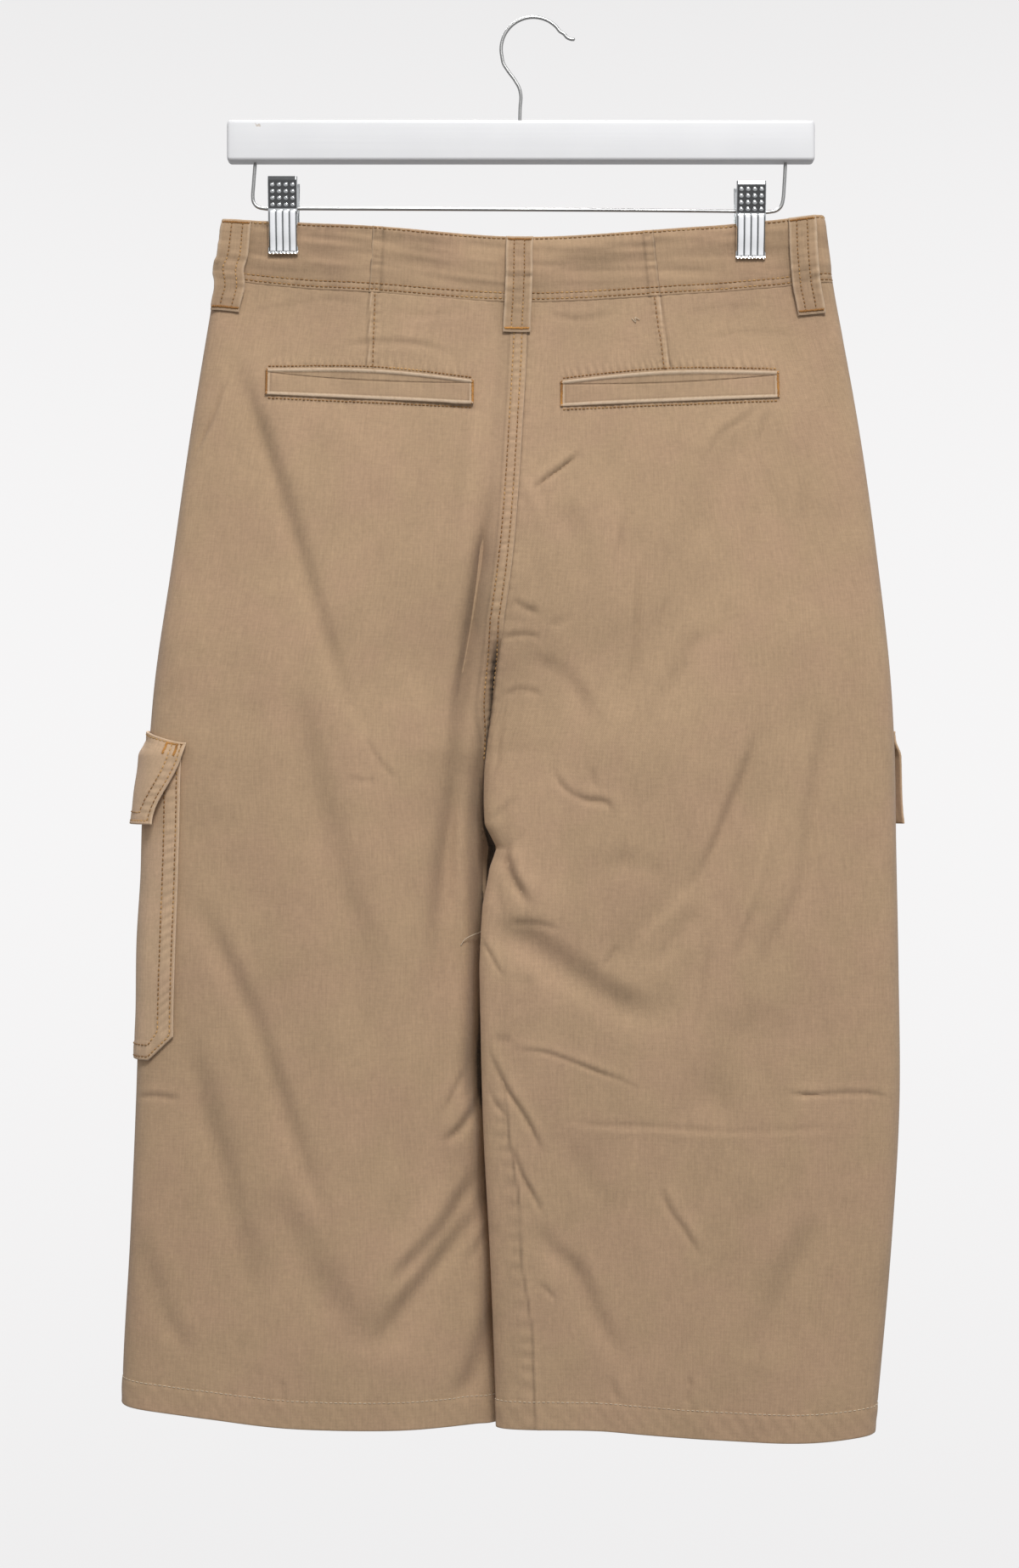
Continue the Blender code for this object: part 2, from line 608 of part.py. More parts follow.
def waist_button():
    """Turned button on the front lap: a flat disc with a raised rim."""
    side = LEFT
    w = w_at(side, -12.0, SEAM_LEVEL, 1)
    z = band_height(side, np.array([w]), np.array([0.5]))[0]
    base = BAND / 2 + LAP_LIFT + LIE_GAP
    at, above = (Vector(skin(side, np.array(w), np.array(z), lift)) for lift in (base, base + 1))
    profile = ((0, BUTTON_THICK - 1), (BUTTON_RADIUS - 3, BUTTON_THICK - 1),
               (BUTTON_RADIUS - 2, BUTTON_THICK), (BUTTON_RADIUS - 0.8, BUTTON_THICK),
               (BUTTON_RADIUS, BUTTON_THICK - 1), (BUTTON_RADIUS, 0.6),
               (BUTTON_RADIUS - 1, 0), (0, 0))
    mesh = bpy.data.meshes.new("waist_button")
    mesh.from_pydata([(r * MM, 0, h * MM) for r, h in profile],
                     [(i, i + 1) for i in range(len(profile) - 1)], [])
    button = finish("waist_button", mesh, (0.36, 0.25, 0.15), 0.5)
    turn = button.modifiers.new("turned", "SCREW")
    turn.steps = turn.render_steps = 20
    turn.use_merge_vertices = True
    turn.merge_threshold = 0.0001
    button.rotation_euler = (above - at).to_track_quat("Z", "X").to_euler()
    button.location = at * MM


# ------------------------------------------------------------------- hanger
def round_edges(made, width, segments=2):
    bevel = made.modifiers.new("rounded edges", "BEVEL")
    bevel.width = width * MM
    bevel.segments = segments
    bevel.limit_method = "ANGLE"


def hanger_bar():
    left, right, bottom, top = BAR
    bpy.ops.mesh.primitive_cube_add(size=1)
    cube = bpy.context.object
    mesh = cube.data.copy()
    bpy.data.objects.remove(cube)
    for vertex in mesh.vertices:
        vertex.co = Vector(((left + right) / 2 + (right - left) * vertex.co.x,
                            BAR_DEPTH * vertex.co.y,
                            (bottom + top) / 2 + (top - bottom) * vertex.co.z)) * MM
    round_edges(finish("hanger_bar", mesh, (0.86, 0.86, 0.85), 0.35), 2.2, 3)


def wire(name, points, radius, colour):
    """Round wire along a line of points (x, z) in the hanger's middle plane."""
    data = bpy.data.curves.new(name, "CURVE")
    data.dimensions = "3D"
    data.bevel_depth = radius * MM
    data.bevel_resolution = 2
    data.use_fill_caps = True
    spline = data.splines.new("POLY")
    spline.points.add(len(points) - 1)
    for point, (x, z) in zip(spline.points, points):
        point.co = (x * MM, 0, z * MM, 1)
    finish(name, data, colour, 0.3, 1.0)


def arc(centre_x, centre_z, radius, start, end, steps):
    """Points of a circular arc, its angles in degrees from +X towards +Z."""
    turns = [radians(start + (end - start) * step / steps) for step in range(steps + 1)]
    return [(centre_x + radius * cos(turn), centre_z + radius * sin(turn)) for turn in turns]


def hanger_hook():
    """Stem out of the bar, a lean to the left, the round hook and its flared tip."""
    middle = HOOK_RADIUS - HOOK_BEND
    stem = [(-8.9, BAR[3] + 0.3), (-8.6, -58), (-8.2, -50), (-9.2, -45.5), (-11.6, -41.0),
            (-17.0, -33.5), (-19.6, -29.2)]
    hook = arc(0, middle, HOOK_BEND, 192, 34, 22)
    tip = [(20.2, -10.0), (22.2, -12.2), (24.6, -13.3), (27.4, -13.4)]
    wire("hanger_hook", stem + hook + tip, HOOK_RADIUS, (0.5, 0.5, 0.49))


def clip_rail():
    """Wire under the bar: two legs, two small bends and the level run between them."""
    left_bend, right_bend = 6.5, 7.5
    low = BAR[2] - 0.3
    left_end, right_end = -124.2, -126.4
    points = [(-182.2, low), (-183.4, -108), (-183.9, left_end + left_bend)]
    points += arc(-183.9 + left_bend, left_end + left_bend, left_bend, 190, 268, 6)
    points += [(-100, -124.6), (-15, -125.0), (80, -125.6)]
    points += arc(163.6 - right_bend, right_end + right_bend, right_bend, -88, -4, 6)
    points += [(164.6, -108), (165.4, low)]
    wire("clip_rail", points, RAIL_RADIUS, (0.42, 0.42, 0.42))


def jaw_profile(side):
    """(y, height above the tip) up one jaw: lip, grip, swell over the rail, handle."""
    rows = ((JAW_GAP + 0.9, 0), (JAW_GAP, 1.6), (JAW_GAP + 0.2, 5), (JAW_GAP + 2.4, 14),
            (JAW_GAP + 3.6, 24), (JAW_GAP + 4.0, 31), (JAW_GAP + 4.4, 33), (JAW_GAP + 6.8, 48),
            (JAW_GAP + 5.8, CLIP_HEIGHT))
    return [(side * y, up) for y, up in rows]


def clip_jaw(name, x, top, side, ribs):
    """Pressed sheet jaw; the one that shows has four upright ribs in its lower part."""
    profile = np.array(jaw_profile(side))
    ways = np.gradient(profile, axis=0)
    ways /= np.linalg.norm(ways, axis=1, keepdims=True)
    outward = np.stack([ways[:, 1] * side, -ways[:, 0] * side], 1)
    across = np.linspace(-0.5, 0.5, 17) if ribs else np.array([-0.5, -0.43, 0, 0.43, 0.5])
    ridge = 0.9 * ribs * np.abs(np.sin(across * pi * 4)) ** 0.8
    ribbed = ease((profile[:, 1] - 1.5) / 1.5) * (1 - ease((profile[:, 1] - 31) / 2))
    relief = CLIP_SHEET + ribbed[:, None] * ridge[None, :]
    flange = 1.6 * (np.abs(across) > 0.49) * (profile[:, 1:] < 47)
    base = np.stack([np.broadcast_to(x + across * CLIP_WIDTH, relief.shape),
                     np.broadcast_to(profile[:, :1], relief.shape),
                     np.broadcast_to(top - CLIP_HEIGHT + profile[:, 1:], relief.shape)], -1)
    push = np.stack([0 * outward[:, 0], outward[:, 0], outward[:, 1]], -1)[:, None, :]
    inward = np.minimum(flange, np.abs(profile[:, :1]) - 1.9)
    shift = np.array([0, -side, 0]) * (np.maximum(inward, 0) * (profile[:, 1:] > 8))[..., None]
    made = cloth(name, base + shift, base + push * relief[..., None], (0.78, 0.80, 0.80))
    shader = made.data.materials[0].node_tree.nodes["Principled BSDF"]
    shader.inputs["Metallic"].default_value = 1.0
    shader.inputs["Roughness"].default_value = 0.12


def clip_spring(name, x, rail_z):
    """Bent strip that sits over the rail and pushes the jaws' lower ends together."""
    bend, sheet, width = 1.9, 0.7, 11
    path = [(-5.4, -10), (-3.2, -3)]
    path += [(bend * cos(turn), bend * sin(turn)) for turn in np.linspace(pi, 0, 9)]
    path += [(3.2, -3), (5.4, -10)]
    path = np.array(path)
    ways = np.gradient(path, axis=0)
    ways /= np.linalg.norm(ways, axis=1, keepdims=True)
    out = np.stack([-ways[:, 1], ways[:, 0]], 1)
    grids = []
    for lift in (0, sheet):
        line = path + out * lift
        grids.append(np.stack([np.stack([x + side * width / 2 + 0 * line[:, 0], line[:, 0],
                                         rail_z + line[:, 1]], -1) for side in (-1, 1)], 1))
    made = cloth(name, grids[0], grids[1], (0.5, 0.5, 0.5))
    made.data.materials[0].node_tree.nodes["Principled BSDF"].inputs["Metallic"].default_value = 1


def clips():
    for word, x, top, rail_z in (("left", CLIPS[0], CLIP_Z[0], -124.4),
                                 ("right", CLIPS[1], CLIP_Z[1], -126.0)):
        clip_jaw(f"clip_{word}_jaw_back", x, top, -1, 1)
        clip_jaw(f"clip_{word}_jaw_front", x, top, 1, 0)
        clip_spring(f"clip_{word}_spring", x, rail_z)


# -------------------------------------------------------------------- build
for old in list(bpy.data.objects):
    bpy.data.objects.remove(old)
garment = bpy.data.collections.new("cargo_shorts_on_hanger")
bpy.context.scene.collection.children.link(garment)

for way in (LEFT, RIGHT):
    body_panel(way, BACK)
    body_panel(way, FRONT)
    hand_pocket_facing(way)
    back_pocket_welt(way)
    cargo_bag(way)
    cargo_flap(way)
waistbands()
for row in BELT_LOOPS:
    belt_loop(*row)
fly()
waist_button()
hanger_bar()
hanger_hook()
clip_rail()
clips()
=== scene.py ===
"""Finish of the three-quarter cargo shorts on their clip hanger.

Sizes are in millimetres and become metres when a mesh is made. "left" and "right" are those
of somebody looking at the back of the shorts, which faces -Y; +Z is up. Each sewn piece is
a fine wall on the same skin as its solid: w = -1 is the seam at the back, w = 0 the outer
fold and w = 1 the seam at the front. Creases, seams and puckers are added to that skin.
"""

from math import cos, pi, radians, sin, tau

import bpy
import numpy as np
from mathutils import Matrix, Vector


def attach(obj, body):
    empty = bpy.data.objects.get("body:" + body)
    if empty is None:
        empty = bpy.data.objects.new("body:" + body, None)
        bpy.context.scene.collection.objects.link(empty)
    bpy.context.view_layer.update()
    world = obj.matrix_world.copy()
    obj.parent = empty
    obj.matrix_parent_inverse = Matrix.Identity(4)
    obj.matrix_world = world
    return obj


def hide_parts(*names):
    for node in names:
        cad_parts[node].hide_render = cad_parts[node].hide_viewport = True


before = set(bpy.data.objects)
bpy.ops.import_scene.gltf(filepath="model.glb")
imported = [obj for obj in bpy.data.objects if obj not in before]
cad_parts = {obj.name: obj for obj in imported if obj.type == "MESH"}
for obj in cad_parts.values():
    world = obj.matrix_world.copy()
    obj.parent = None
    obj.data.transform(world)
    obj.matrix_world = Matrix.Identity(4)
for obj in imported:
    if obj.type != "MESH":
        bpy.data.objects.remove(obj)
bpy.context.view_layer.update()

MM = 0.001
LEFT, RIGHT = -1, 1
BACK, FRONT = -1, 1
WORD = {LEFT: "left", RIGHT: "right"}

# ============================================================ form of the cloth
CLOTH, BAND, POCKET, STRIP, LOOP = 1.5, 2.4, 2.0, 1.3, 1.8  # walls
LIE_GAP = 0.45  # between a piece and the one it lies on

SECTIONS = (
    # z, left_fold, right_fold, centre, half_depth
    (-125, -201.5, 189.2, -4.0, 7),
    (-178, -208.2, 196.0, -4.4, 11),
    (-222, -215.4, 204.4, -5.8, 16),
    (-266, -222.6, 212.2, -8.2, 21),
    (-355, -235.4, 224.8, -14.8, 26),
    (-444, -248.0, 234.2, -27.6, 28),
    (-480, -250.8, 236.0, -31.5, 28),
    (-540, -253.0, 237.0, -32.5, 27),
    (-622, -256.6, 238.6, -32.5, 26),
    (-711, -259.4, 239.2, -30.0, 25),
    (-800, -263.2, 234.2, -26.0, 24),
    (-890, -268.0, 226.4, -22.0, 23),
    (-932, -268.6, 222.4, -20.0, 22),
)
INSEAMS = (
    # z, left_inner, right_inner, tuck
    (-480, -32.5, -30.5, 0),
    (-495, -33.2, -32.0, 2.4),
    (-515, -32.4, -32.8, 5.4),
    (-545, -29.8, -31.6, 8.4),
    (-600, -26.5, -33.6, 10.5),
    (-711, -24.0, -32.4, 10.5),
    (-820, -19.0, -27.0, 10.5),
    (-932, -14.5, -22.8, 10.5),
)
WAIST = (
    # x, top, seam
    (-210, -132.0, -171.0),
    (-164, -133.4, -175.5),
    (-104, -137.4, -180.8),
    (-8, -144.6, -187.6),
    (78, -140.0, -183.4),
    (140, -134.2, -177.6),
    (198, -129.0, -173.2),
)
HEM = (
    # x, z
    (-270, -906.5),
    (-214, -912.7),
    (-164, -918.3),
    (-115, -920.2),
    (-25, -919.8),
    (35, -920.4),
    (116, -926.0),
    (180, -929.0),
    (224, -925.4),
)
SLOT = (
    # z, width and depth of the dark slot at the left leg's edge, right_shift, right_rise, reach
    (-395, 1, 0, 0, 0, 0),
    (-420, 3.0, 4, 0.5, 1, 3.5),
    (-455, 2.5, 8, 0.5, 2, 6),
    (-489, 2.5, 12, 0.5, 3, 6),
    (-528, 4.5, 13, 1.5, 3, 5),
    (-543, 5.5, 14, 8.5, 1, 9),
    (-556, 6.0, 14, 4.0, 3, 6),
    (-580, 7.0, 14, 0.5, 4, 2),
    (-620, 8.6, 13, -0.5, 4, 0),
    (-655, 10.0, 12, 0, 4, 0),
    (-684, 13.0, 12, 0, 3, 0),
    (-705, 12.0, 12, 0, 3, 0),
    (-728, 7.0, 10, 0, 2, 0),
    (-753, 8.5, 10, 0, 2, 0),
    (-775, 9.5, 9, 0, 2, 0),
    (-795, 6.0, 8, 0, 1, 0),
    (-820, 5.5, 8, 0, 1, 0),
    (-850, 8.0, 9, 0, 1, 0),
    (-875, 7.0, 6, 0, 1, 0),
    (-900, 2.5, 3, 0, 1, 0),
    (-932, 1.0, 2, 0, 1, 0),
)
SLOT_REACH, NOTCH_REACH = 15, 26  # how far from the inner edges its shifts fade out
SLOT_LIP = 10  # width of the roll into it
SEAM_LEVEL, HEM_LEVEL = -180, -920  # levels that follow the waist seam and the hem
WAIST_FADE, HEM_FADE = 160, 150  # how far from them they do so
FRONT_DROP = 4  # how much lower the waist is at the front
BLEND_START, CROTCH = -395, -480  # from one oval to two: the outline's heights
SOFT_BLEND = (-352, -500)  # and those of its depth
SEAM_SPREAD = 1.0  # from the centre seam to each half's edge
TUCK_REACH = 75  # width of the tuck between the legs
FOLD_ROUND, FOLD_REACH = 3.6, 9  # roll of the outer fold: its radius and width
CLIPS = (-163.6, 142.1)  # x of the clips' middles
PINCH_HALF, PINCH_REACH = 12, 26  # half width that they press flat, and the fade beside it
PINCH_TOP, PINCH_END = -165, -262  # heights between which the pinch opens
PINCH_DEPTH = 1.5  # half the depth that is left between the jaws

# Large folds, as in the solids: an arc between two points, a positive depth is a trough.
FOLDS = (
    # face, x0, z0, x1, z1, bow, width, depth
    (BACK, -26, -300, -52, -665, -15, 13, 9.0),
    (BACK, -199, -216, -87, -497, -6, 13, 4.0),
    (BACK, -156, -434, -103, -700, 5, 17, 4.5),
    (BACK, -200, -566, -130, -785, 4, 15, 4.0),
    (BACK, -226, -692, -168, -840, 4, 14, 3.0),
    (BACK, -35, -735, -112, -875, 17, 15, 6.5),
    (BACK, 146, -480, 44, -628, 12, 15, 5.0),
    (BACK, -20, -590, 100, -660, 12, 17, 5.0),
    (BACK, 58, -330, 62, -460, 6, 16, 3.5),
    (BACK, 150, -640, 108, -722, 8, 18, 4.0),
    (BACK, 196, -760, 146, -880, 8, 18, 3.5),
    (BACK, 4, -780, 70, -885, 8, 17, 3.5),
    (FRONT, -52, -330, -66, -640, 10, 14, 7.0),
    (FRONT, -60, -420, -185, -340, -12, 16, 4.5),
    (FRONT, 20, -415, 160, -345, 12, 16, 4.5),
    (FRONT, 8, -520, 22, -690, -8, 15, 5.0),
    (FRONT, 175, -725, 120, -870, 8, 17, 4.5),
    (FRONT, -200, -720, -120, -870, -8, 17, 4.5),
    (FRONT, 60, -760, 20, -890, 8, 16, 4.0),
)

# Finer creases that only the finish has. Each follows a smooth line through its points, and
# a negative depth is a ridge. lean is the height of the ridge beside it, as a share of its
# depth: above 0 it stands on the left of somebody who walks along the crease seen from
# outside, below 0 on the right.
CREASES = (
    # face, width, depth, lean, points (x, z)
    # left leg, seen from behind
    (BACK, 5.9, 2.3, 0.6, ((-200, -212), (-181, -264), (-163, -318), (-145, -376), (-126, -434),
                           (-101, -486))),
    (BACK, 1.8, 0.7, 0.5, ((-110, -470), (-99, -488), (-86, -502))),
    (BACK, 9.8, 1.5, 0.5, ((-159, -417), (-152, -461), (-143, -500), (-125, -566), (-104, -621),
                         (-99, -655))),
    (BACK, 7, 2.0, 0.5, ((-222, -566), (-201, -613), (-179, -662), (-163, -709), (-141, -770),
                         (-128, -800))),
    (BACK, 9.1, 1.6, 0.5, ((-227, -642), (-222, -676), (-207, -734), (-192, -794), (-174, -866))),
    (BACK, 11.2, 1.5, 0.5, ((-171, -758), (-156, -792), (-139, -825), (-120, -852), (-100, -873))),
    (BACK, 5.3, 2.4, -0.7, ((-34, -750), (-46, -771), (-57, -788), (-82, -815), (-96, -834))),
    (BACK, 6.2, 2.3, -0.6, ((-26, -772), (-46, -794), (-60, -811), (-88, -846), (-105, -874))),
    (BACK, 3.6, 1.2, -0.5, ((-22, -786), (-34, -801), (-43, -817))),
    (BACK, 7, 2.4, -0.4, ((-22, -840), (-33, -868), (-42, -892), (-56, -906))),
    (BACK, 3.4, 1.8, -0.6, ((-32, -700), (-42, -719), (-51, -730), (-63, -736))),
    (BACK, 2.4, 0.9, -0.5, ((-43, -684), (-51, -701), (-58, -718))),
    (BACK, 6.2, 3.6, -0.4, ((-24, -290), (-32, -346), (-39, -401), (-46, -456), (-50, -500),
                            (-57, -544), (-62, -610), (-59, -652))),
    (BACK, 8.4, 2.0, -0.3, ((-29, -336), (-35, -372), (-41, -408), (-45, -436))),
    (BACK, 6.3, -1.1, 0.0, ((-27, -238), (-36, -269), (-41, -302), (-45, -335), (-49, -368))),
    (BACK, 7, 0.9, 0.0, ((-44, -280), (-50, -324), (-58, -368), (-65, -416))),
    (BACK, 7, 1.0, 0.3, ((-259, -786), (-253, -808), (-245, -831), (-233, -857), (-214, -882))),
    (BACK, 1.7, 0.9, 0.4, ((-260, -706), (-244, -704), (-225, -707))),
    (BACK, 1.5, 1.2, 0.6, ((-200, -238), (-208, -262), (-216, -279), (-224, -296))),
    (BACK, 2.4, 0.7, 0.3, ((-163, -886), (-162, -904))),
    (BACK, 2.2, 0.9, 0.5, ((-192, -194), (-156, -188), (-139, -185), (-108, -190))),
    (BACK, 2.2, 0.8, 0.5, ((-128, -217), (-109, -215), (-71, -217), (-50, -224))),
    (BACK, 2.4, 0.5, -0.5, ((-96, -192), (-76, -197), (-40, -192))),
    (BACK, 2, 0.5, 0.4, ((-58, -256), (-45, -258), (-30, -261))),
    (BACK, 12.6, 0.6, 0.3, ((-118, -270), (-104, -340), (-96, -410))),
    (BACK, 2, 0.4, 0.4, ((-122, -498), (-108, -500), (-98, -499))),
    (BACK, 2.8, 2.8, -0.4, ((-28, -318), (-34, -352), (-40, -390), (-47, -430), (-52, -462))),
    # right half of the seat
    (BACK, 1.5, 1.7, 0.5, ((-2, -313), (9, -304), (20, -296), (33, -285))),
    (BACK, 3.6, -0.6, 0.0, ((-9, -300), (0, -318), (11, -348))),
    (BACK, 9.8, 1.0, 0.3, ((13, -318), (28, -351), (34, -382))),
    (BACK, 2.4, 0.9, 0.5, ((-15, -382), (-6, -388), (6, -392))),
    (BACK, 1.7, 0.8, 0.6, ((-23, -408), (-9, -405), (8, -407))),
    (BACK, 2.2, 0.7, -0.5, ((8, -400), (20, -396), (28, -391))),
    (BACK, 2, 0.7, 0.5, ((-22, -446), (-12, -441), (8, -444))),
    (BACK, 5.6, 0.8, 0.5, ((-8, -420), (14, -428), (30, -446), (38, -470))),
    (BACK, 2.4, 1.0, -0.4, ((68, -356), (67, -390), (66, -415), (61, -448))),
    (BACK, 2.6, 0.6, -0.4, ((63, -322), (57, -343), (54, -362))),
    (BACK, 11.2, 1.2, -0.4, ((148, -258), (132, -285), (112, -327), (101, -349), (93, -376))),
    (BACK, 2.2, 0.8, -0.4, ((152, -254), (133, -267), (119, -278), (112, -297))),
    (BACK, 2.2, 0.7, -0.4, ((154, -257), (149, -272), (145, -286))),
    (BACK, 5.6, 1.0, -0.4, ((122, -400), (104, -412), (94, -431), (76, -462))),
    (BACK, 2.2, 0.6, -0.3, ((89, -378), (83, -394), (80, -408))),
    (BACK, 2.2, 0.5, 0.4, ((96, -196), (126, -190), (168, -190))),
    (BACK, 2.4, 0.6, 0.4, ((6, -196), (28, -200), (60, -194))),
    (BACK, 2.2, 0.5, 0.4, ((108, -212), (140, -207), (176, -209))),
    (BACK, 3.6, 0.5, -0.4, ((178, -300), (176, -330), (177, -352))),
    # right leg
    (BACK, 5.6, 1.2, -0.5, ((197, -440), (184, -492), (177, -544), (174, -566), (152, -613),
                          (144, -652))),
    (BACK, 3.6, 1.6, -0.5, ((147, -462), (138, -489), (128, -514), (110, -556), (97, -577))),
    (BACK, 4.3, -0.9, 0.0, ((106, -564), (89, -585), (72, -602), (62, -628))),
    (BACK, 5.6, 0.9, -0.4, ((110, -580), (92, -602), (72, -624))),
    (BACK, 2.2, 0.8, -0.4, ((55, -605), (45, -623))),
    (BACK, 2.3, -1.0, 0.0, ((157, -510), (150, -541), (143, -568), (135, -590), (124, -616))),
    (BACK, 4.3, 0.9, -0.5, ((147, -575), (137, -597), (131, -620))),
    (BACK, 2.2, 0.8, -0.3, ((114, -600), (111, -624), (108, -646), (104, -664))),
    (BACK, 11.2, 1.5, 0.3, ((148, -646), (133, -662), (122, -682), (113, -708), (92, -724))),
    (BACK, 10.5, 3.6, 0.6, ((-36, -595), (-16, -600), (9, -615), (24, -625), (55, -645),
                           (71, -652), (94, -659))),
    (BACK, 2.4, 0.9, 0.4, ((-17, -592), (2, -592), (19, -597))),
    (BACK, 3.6, 2.6, 0.8, ((-25, -542), (-17, -558), (-10, -570), (-2, -583))),
    (BACK, 3.6, 0.9, 0.3, ((-28, -560), (-24, -576), (-20, -588))),
    (BACK, 1.6, 1.2, 0.5, ((-34, -601), (-27, -614), (-19, -628))),
    (BACK, 4.2, 1.0, 0.4, ((-3, -624), (-6, -639), (-13, -653))),
    (BACK, 3.6, 0.8, 0.3, ((-26, -664), (-20, -668), (-12, -667))),
    (BACK, 1.5, 1.0, 0.6, ((-18, -674), (6, -675), (24, -681), (42, -688), (59, -694),
                           (72, -701))),
    (BACK, 2, 1.9, 0.6, ((-31, -670), (-24, -686), (-16, -702), (-7, -715), (7, -744))),
    (BACK, 2, 1.0, 0.4, ((-30, -696), (-24, -710), (-16, -719))),
    (BACK, 2, 1.4, 0.5, ((-15, -732), (-9, -752), (-1, -767), (7, -783))),
    (BACK, 6.3, 1.7, 0.5, ((-4, -783), (12, -804), (25, -815), (39, -844), (63, -886))),
    (BACK, 2.2, 0.7, 0.4, ((3, -824), (15, -836))),
    (BACK, 9.8, 1.0, 0.4, ((8, -721), (26, -745), (40, -765), (60, -788))),
    (BACK, 2.2, -0.7, 0.0, ((66, -714), (65, -742), (62, -775), (57, -802))),
    (BACK, 2.6, 1.0, 0.5, ((81, -758), (87, -776), (97, -790), (109, -811))),
    (BACK, 9.1, 1.6, -0.4, ((186, -778), (176, -801), (166, -820), (157, -844), (150, -872))),
    (BACK, 2.2, 1.0, 0.4, ((102, -884), (99, -905))),
    (BACK, 3.4, 0.8, 0.4, ((49, -884), (54, -904))),
    (BACK, 1.6, 0.55, -0.5, ((3, -716), (39, -722), (78, -723), (122, -726), (177, -725),
                             (227, -724))),
    (BACK, 1.6, 1.1, 0.3, ((160, -702), (180, -703), (204, -702), (226, -704), (236, -708))),
    (BACK, 2.3, 1.0, 0.5, ((11, -490), (20, -505), (33, -512), (48, -515), (50, -527))),
    (BACK, 2.2, 0.6, 0.4, ((37, -488), (39, -507))),
    (BACK, 8.4, 0.8, 0.3, ((32, -556), (61, -554), (96, -561))),
    (BACK, 2.2, 0.9, 0.5, ((-17, -450), (-22, -467), (-24, -489), (-29, -504))),
    (BACK, 2.2, 0.7, 0.4, ((-29, -527), (-20, -519), (-8, -509))),
    # front
    (FRONT, 6.2, 2.6, 0.5, ((-28, -330), (-48, -400), (-60, -500), (-62, -630))),
    (FRONT, 4.3, 2.0, 0.6, ((-56, -422), (-90, -392), (-140, -360), (-188, -340))),
    (FRONT, 2.2, 1.1, 0.5, ((-48, -384), (-90, -352), (-140, -328))),
    (FRONT, 1.6, 0.8, 0.5, ((-44, -356), (-70, -336), (-96, -326))),
    (FRONT, 4.3, 1.9, -0.6, ((16, -416), (50, -392), (100, -362), (160, -344))),
    (FRONT, 2.2, 1.1, -0.5, ((8, -374), (50, -344), (104, -320))),
    (FRONT, 1.6, 0.8, -0.5, ((4, -340), (30, -322), (58, -312))),
    (FRONT, 7, 1.8, 0.5, ((4, -520), (10, -600), (26, -694))),
    (FRONT, 2.4, 1.0, 0.5, ((16, -540), (28, -570), (34, -612))),
    (FRONT, 7, 1.7, 0.5, ((182, -718), (160, -760), (142, -800), (118, -872))),
    (FRONT, 7, 1.8, 0.5, ((-206, -714), (-182, -760), (-160, -806), (-118, -870))),
    (FRONT, 8.4, 1.4, 0.5, ((62, -760), (50, -800), (36, -840), (18, -890))),
    (FRONT, 1.6, 0.9, 0.6, ((-164, -690), (-110, -694), (-56, -689))),
    (FRONT, 1.6, 0.9, 0.6, ((38, -706), (90, -711), (154, -702))),
    (FRONT, 9.8, 1.2, 0.4, ((-152, -478), (-134, -540), (-126, -590), (-120, -644))),
    (FRONT, 9.8, 1.2, 0.4, ((112, -468), (104, -550), (122, -632))),
    (FRONT, 6.3, 1.6, 0.6, ((-38, -556), (-58, -586), (-76, -620), (-92, -664))),
    (FRONT, 3.6, 1.2, -0.5, ((22, -586), (52, -606), (96, -622), (140, -628))),
    (FRONT, 2, 0.8, 0.5, ((-24, -230), (-60, -262), (-120, -272))),
    (FRONT, 2, 0.8, 0.5, ((36, -232), (70, -258), (120, -262))),
    (FRONT, 2, 0.7, 0.4, ((-150, -232), (-112, -222), (-70, -226))),
    (FRONT, 11.2, 1.0, 0.4, ((-90, -720), (-84, -800), (-96, -880))),
    (FRONT, 2.4, 0.8, 0.5, ((-110, -764), (-100, -790), (-84, -812))),
    (FRONT, 2.3, -0.8, 0.0, ((96, -520), (92, -560), (84, -606))),
    (FRONT, 2.2, 0.8, 0.4, ((-150, -886), (-147, -904))),
    (FRONT, 2.2, 0.8, 0.4, ((70, -884), (73, -906))),
)
FOLD_SHARE = 0.42  # of a large fold's depth that stays soft here
WAVES = ((62, 0.40, 3), (24, 0.28, 11), (9, 0.10, 19))  # size, height and seed of soft waves


def smooth(at, places, values):
    """Cubic curve through a table's points, with its slopes from their neighbours."""
    places, values = np.asarray(places, float), np.asarray(values, float)
    if places[0] > places[-1]:
        places, values = places[::-1], values[::-1]
    slopes = np.gradient(values, places)
    at = np.clip(at, places[0], places[-1])
    cell = np.clip(np.searchsorted(places, at) - 1, 0, len(places) - 2)
    span = places[cell + 1] - places[cell]
    t = (at - places[cell]) / span
    start, end = values[cell], values[cell + 1]
    rise, fall = slopes[cell] * span, slopes[cell + 1] * span
    return (start * (1 + 2 * t) * (1 - t) ** 2 + rise * t * (1 - t) ** 2
            + end * t * t * (3 - 2 * t) + fall * t * t * (t - 1))


def ease(t):
    """Smooth step from 0 to 1."""
    t = np.clip(t, 0, 1)
    return t * t * (3 - 2 * t)


def bell(distance, width):
    """1 on a line, falling smoothly to nothing about two widths away."""
    return np.exp(-(distance / width) ** 2)


def column(table, number):
    """One column of a table."""
    return [row[number] for row in table]


def curve(table, at, number):
    """Smooth curve through one column of a table, against its first column."""
    return smooth(at, column(table, 0), column(table, number))


def x_on(line, z):
    """x of a line that runs down through points (x, z), straight between them."""
    return np.interp(-z, [-point[1] for point in line], column(line, 0))


def run(points):
    """Length along a line of points, from 0 at its first one."""
    return np.concatenate([[0], np.cumsum(np.linalg.norm(np.diff(points, axis=0), axis=1))])


def unit(vectors):
    """Vectors brought to length 1."""
    return vectors / np.linalg.norm(vectors, axis=-1, keepdims=True)


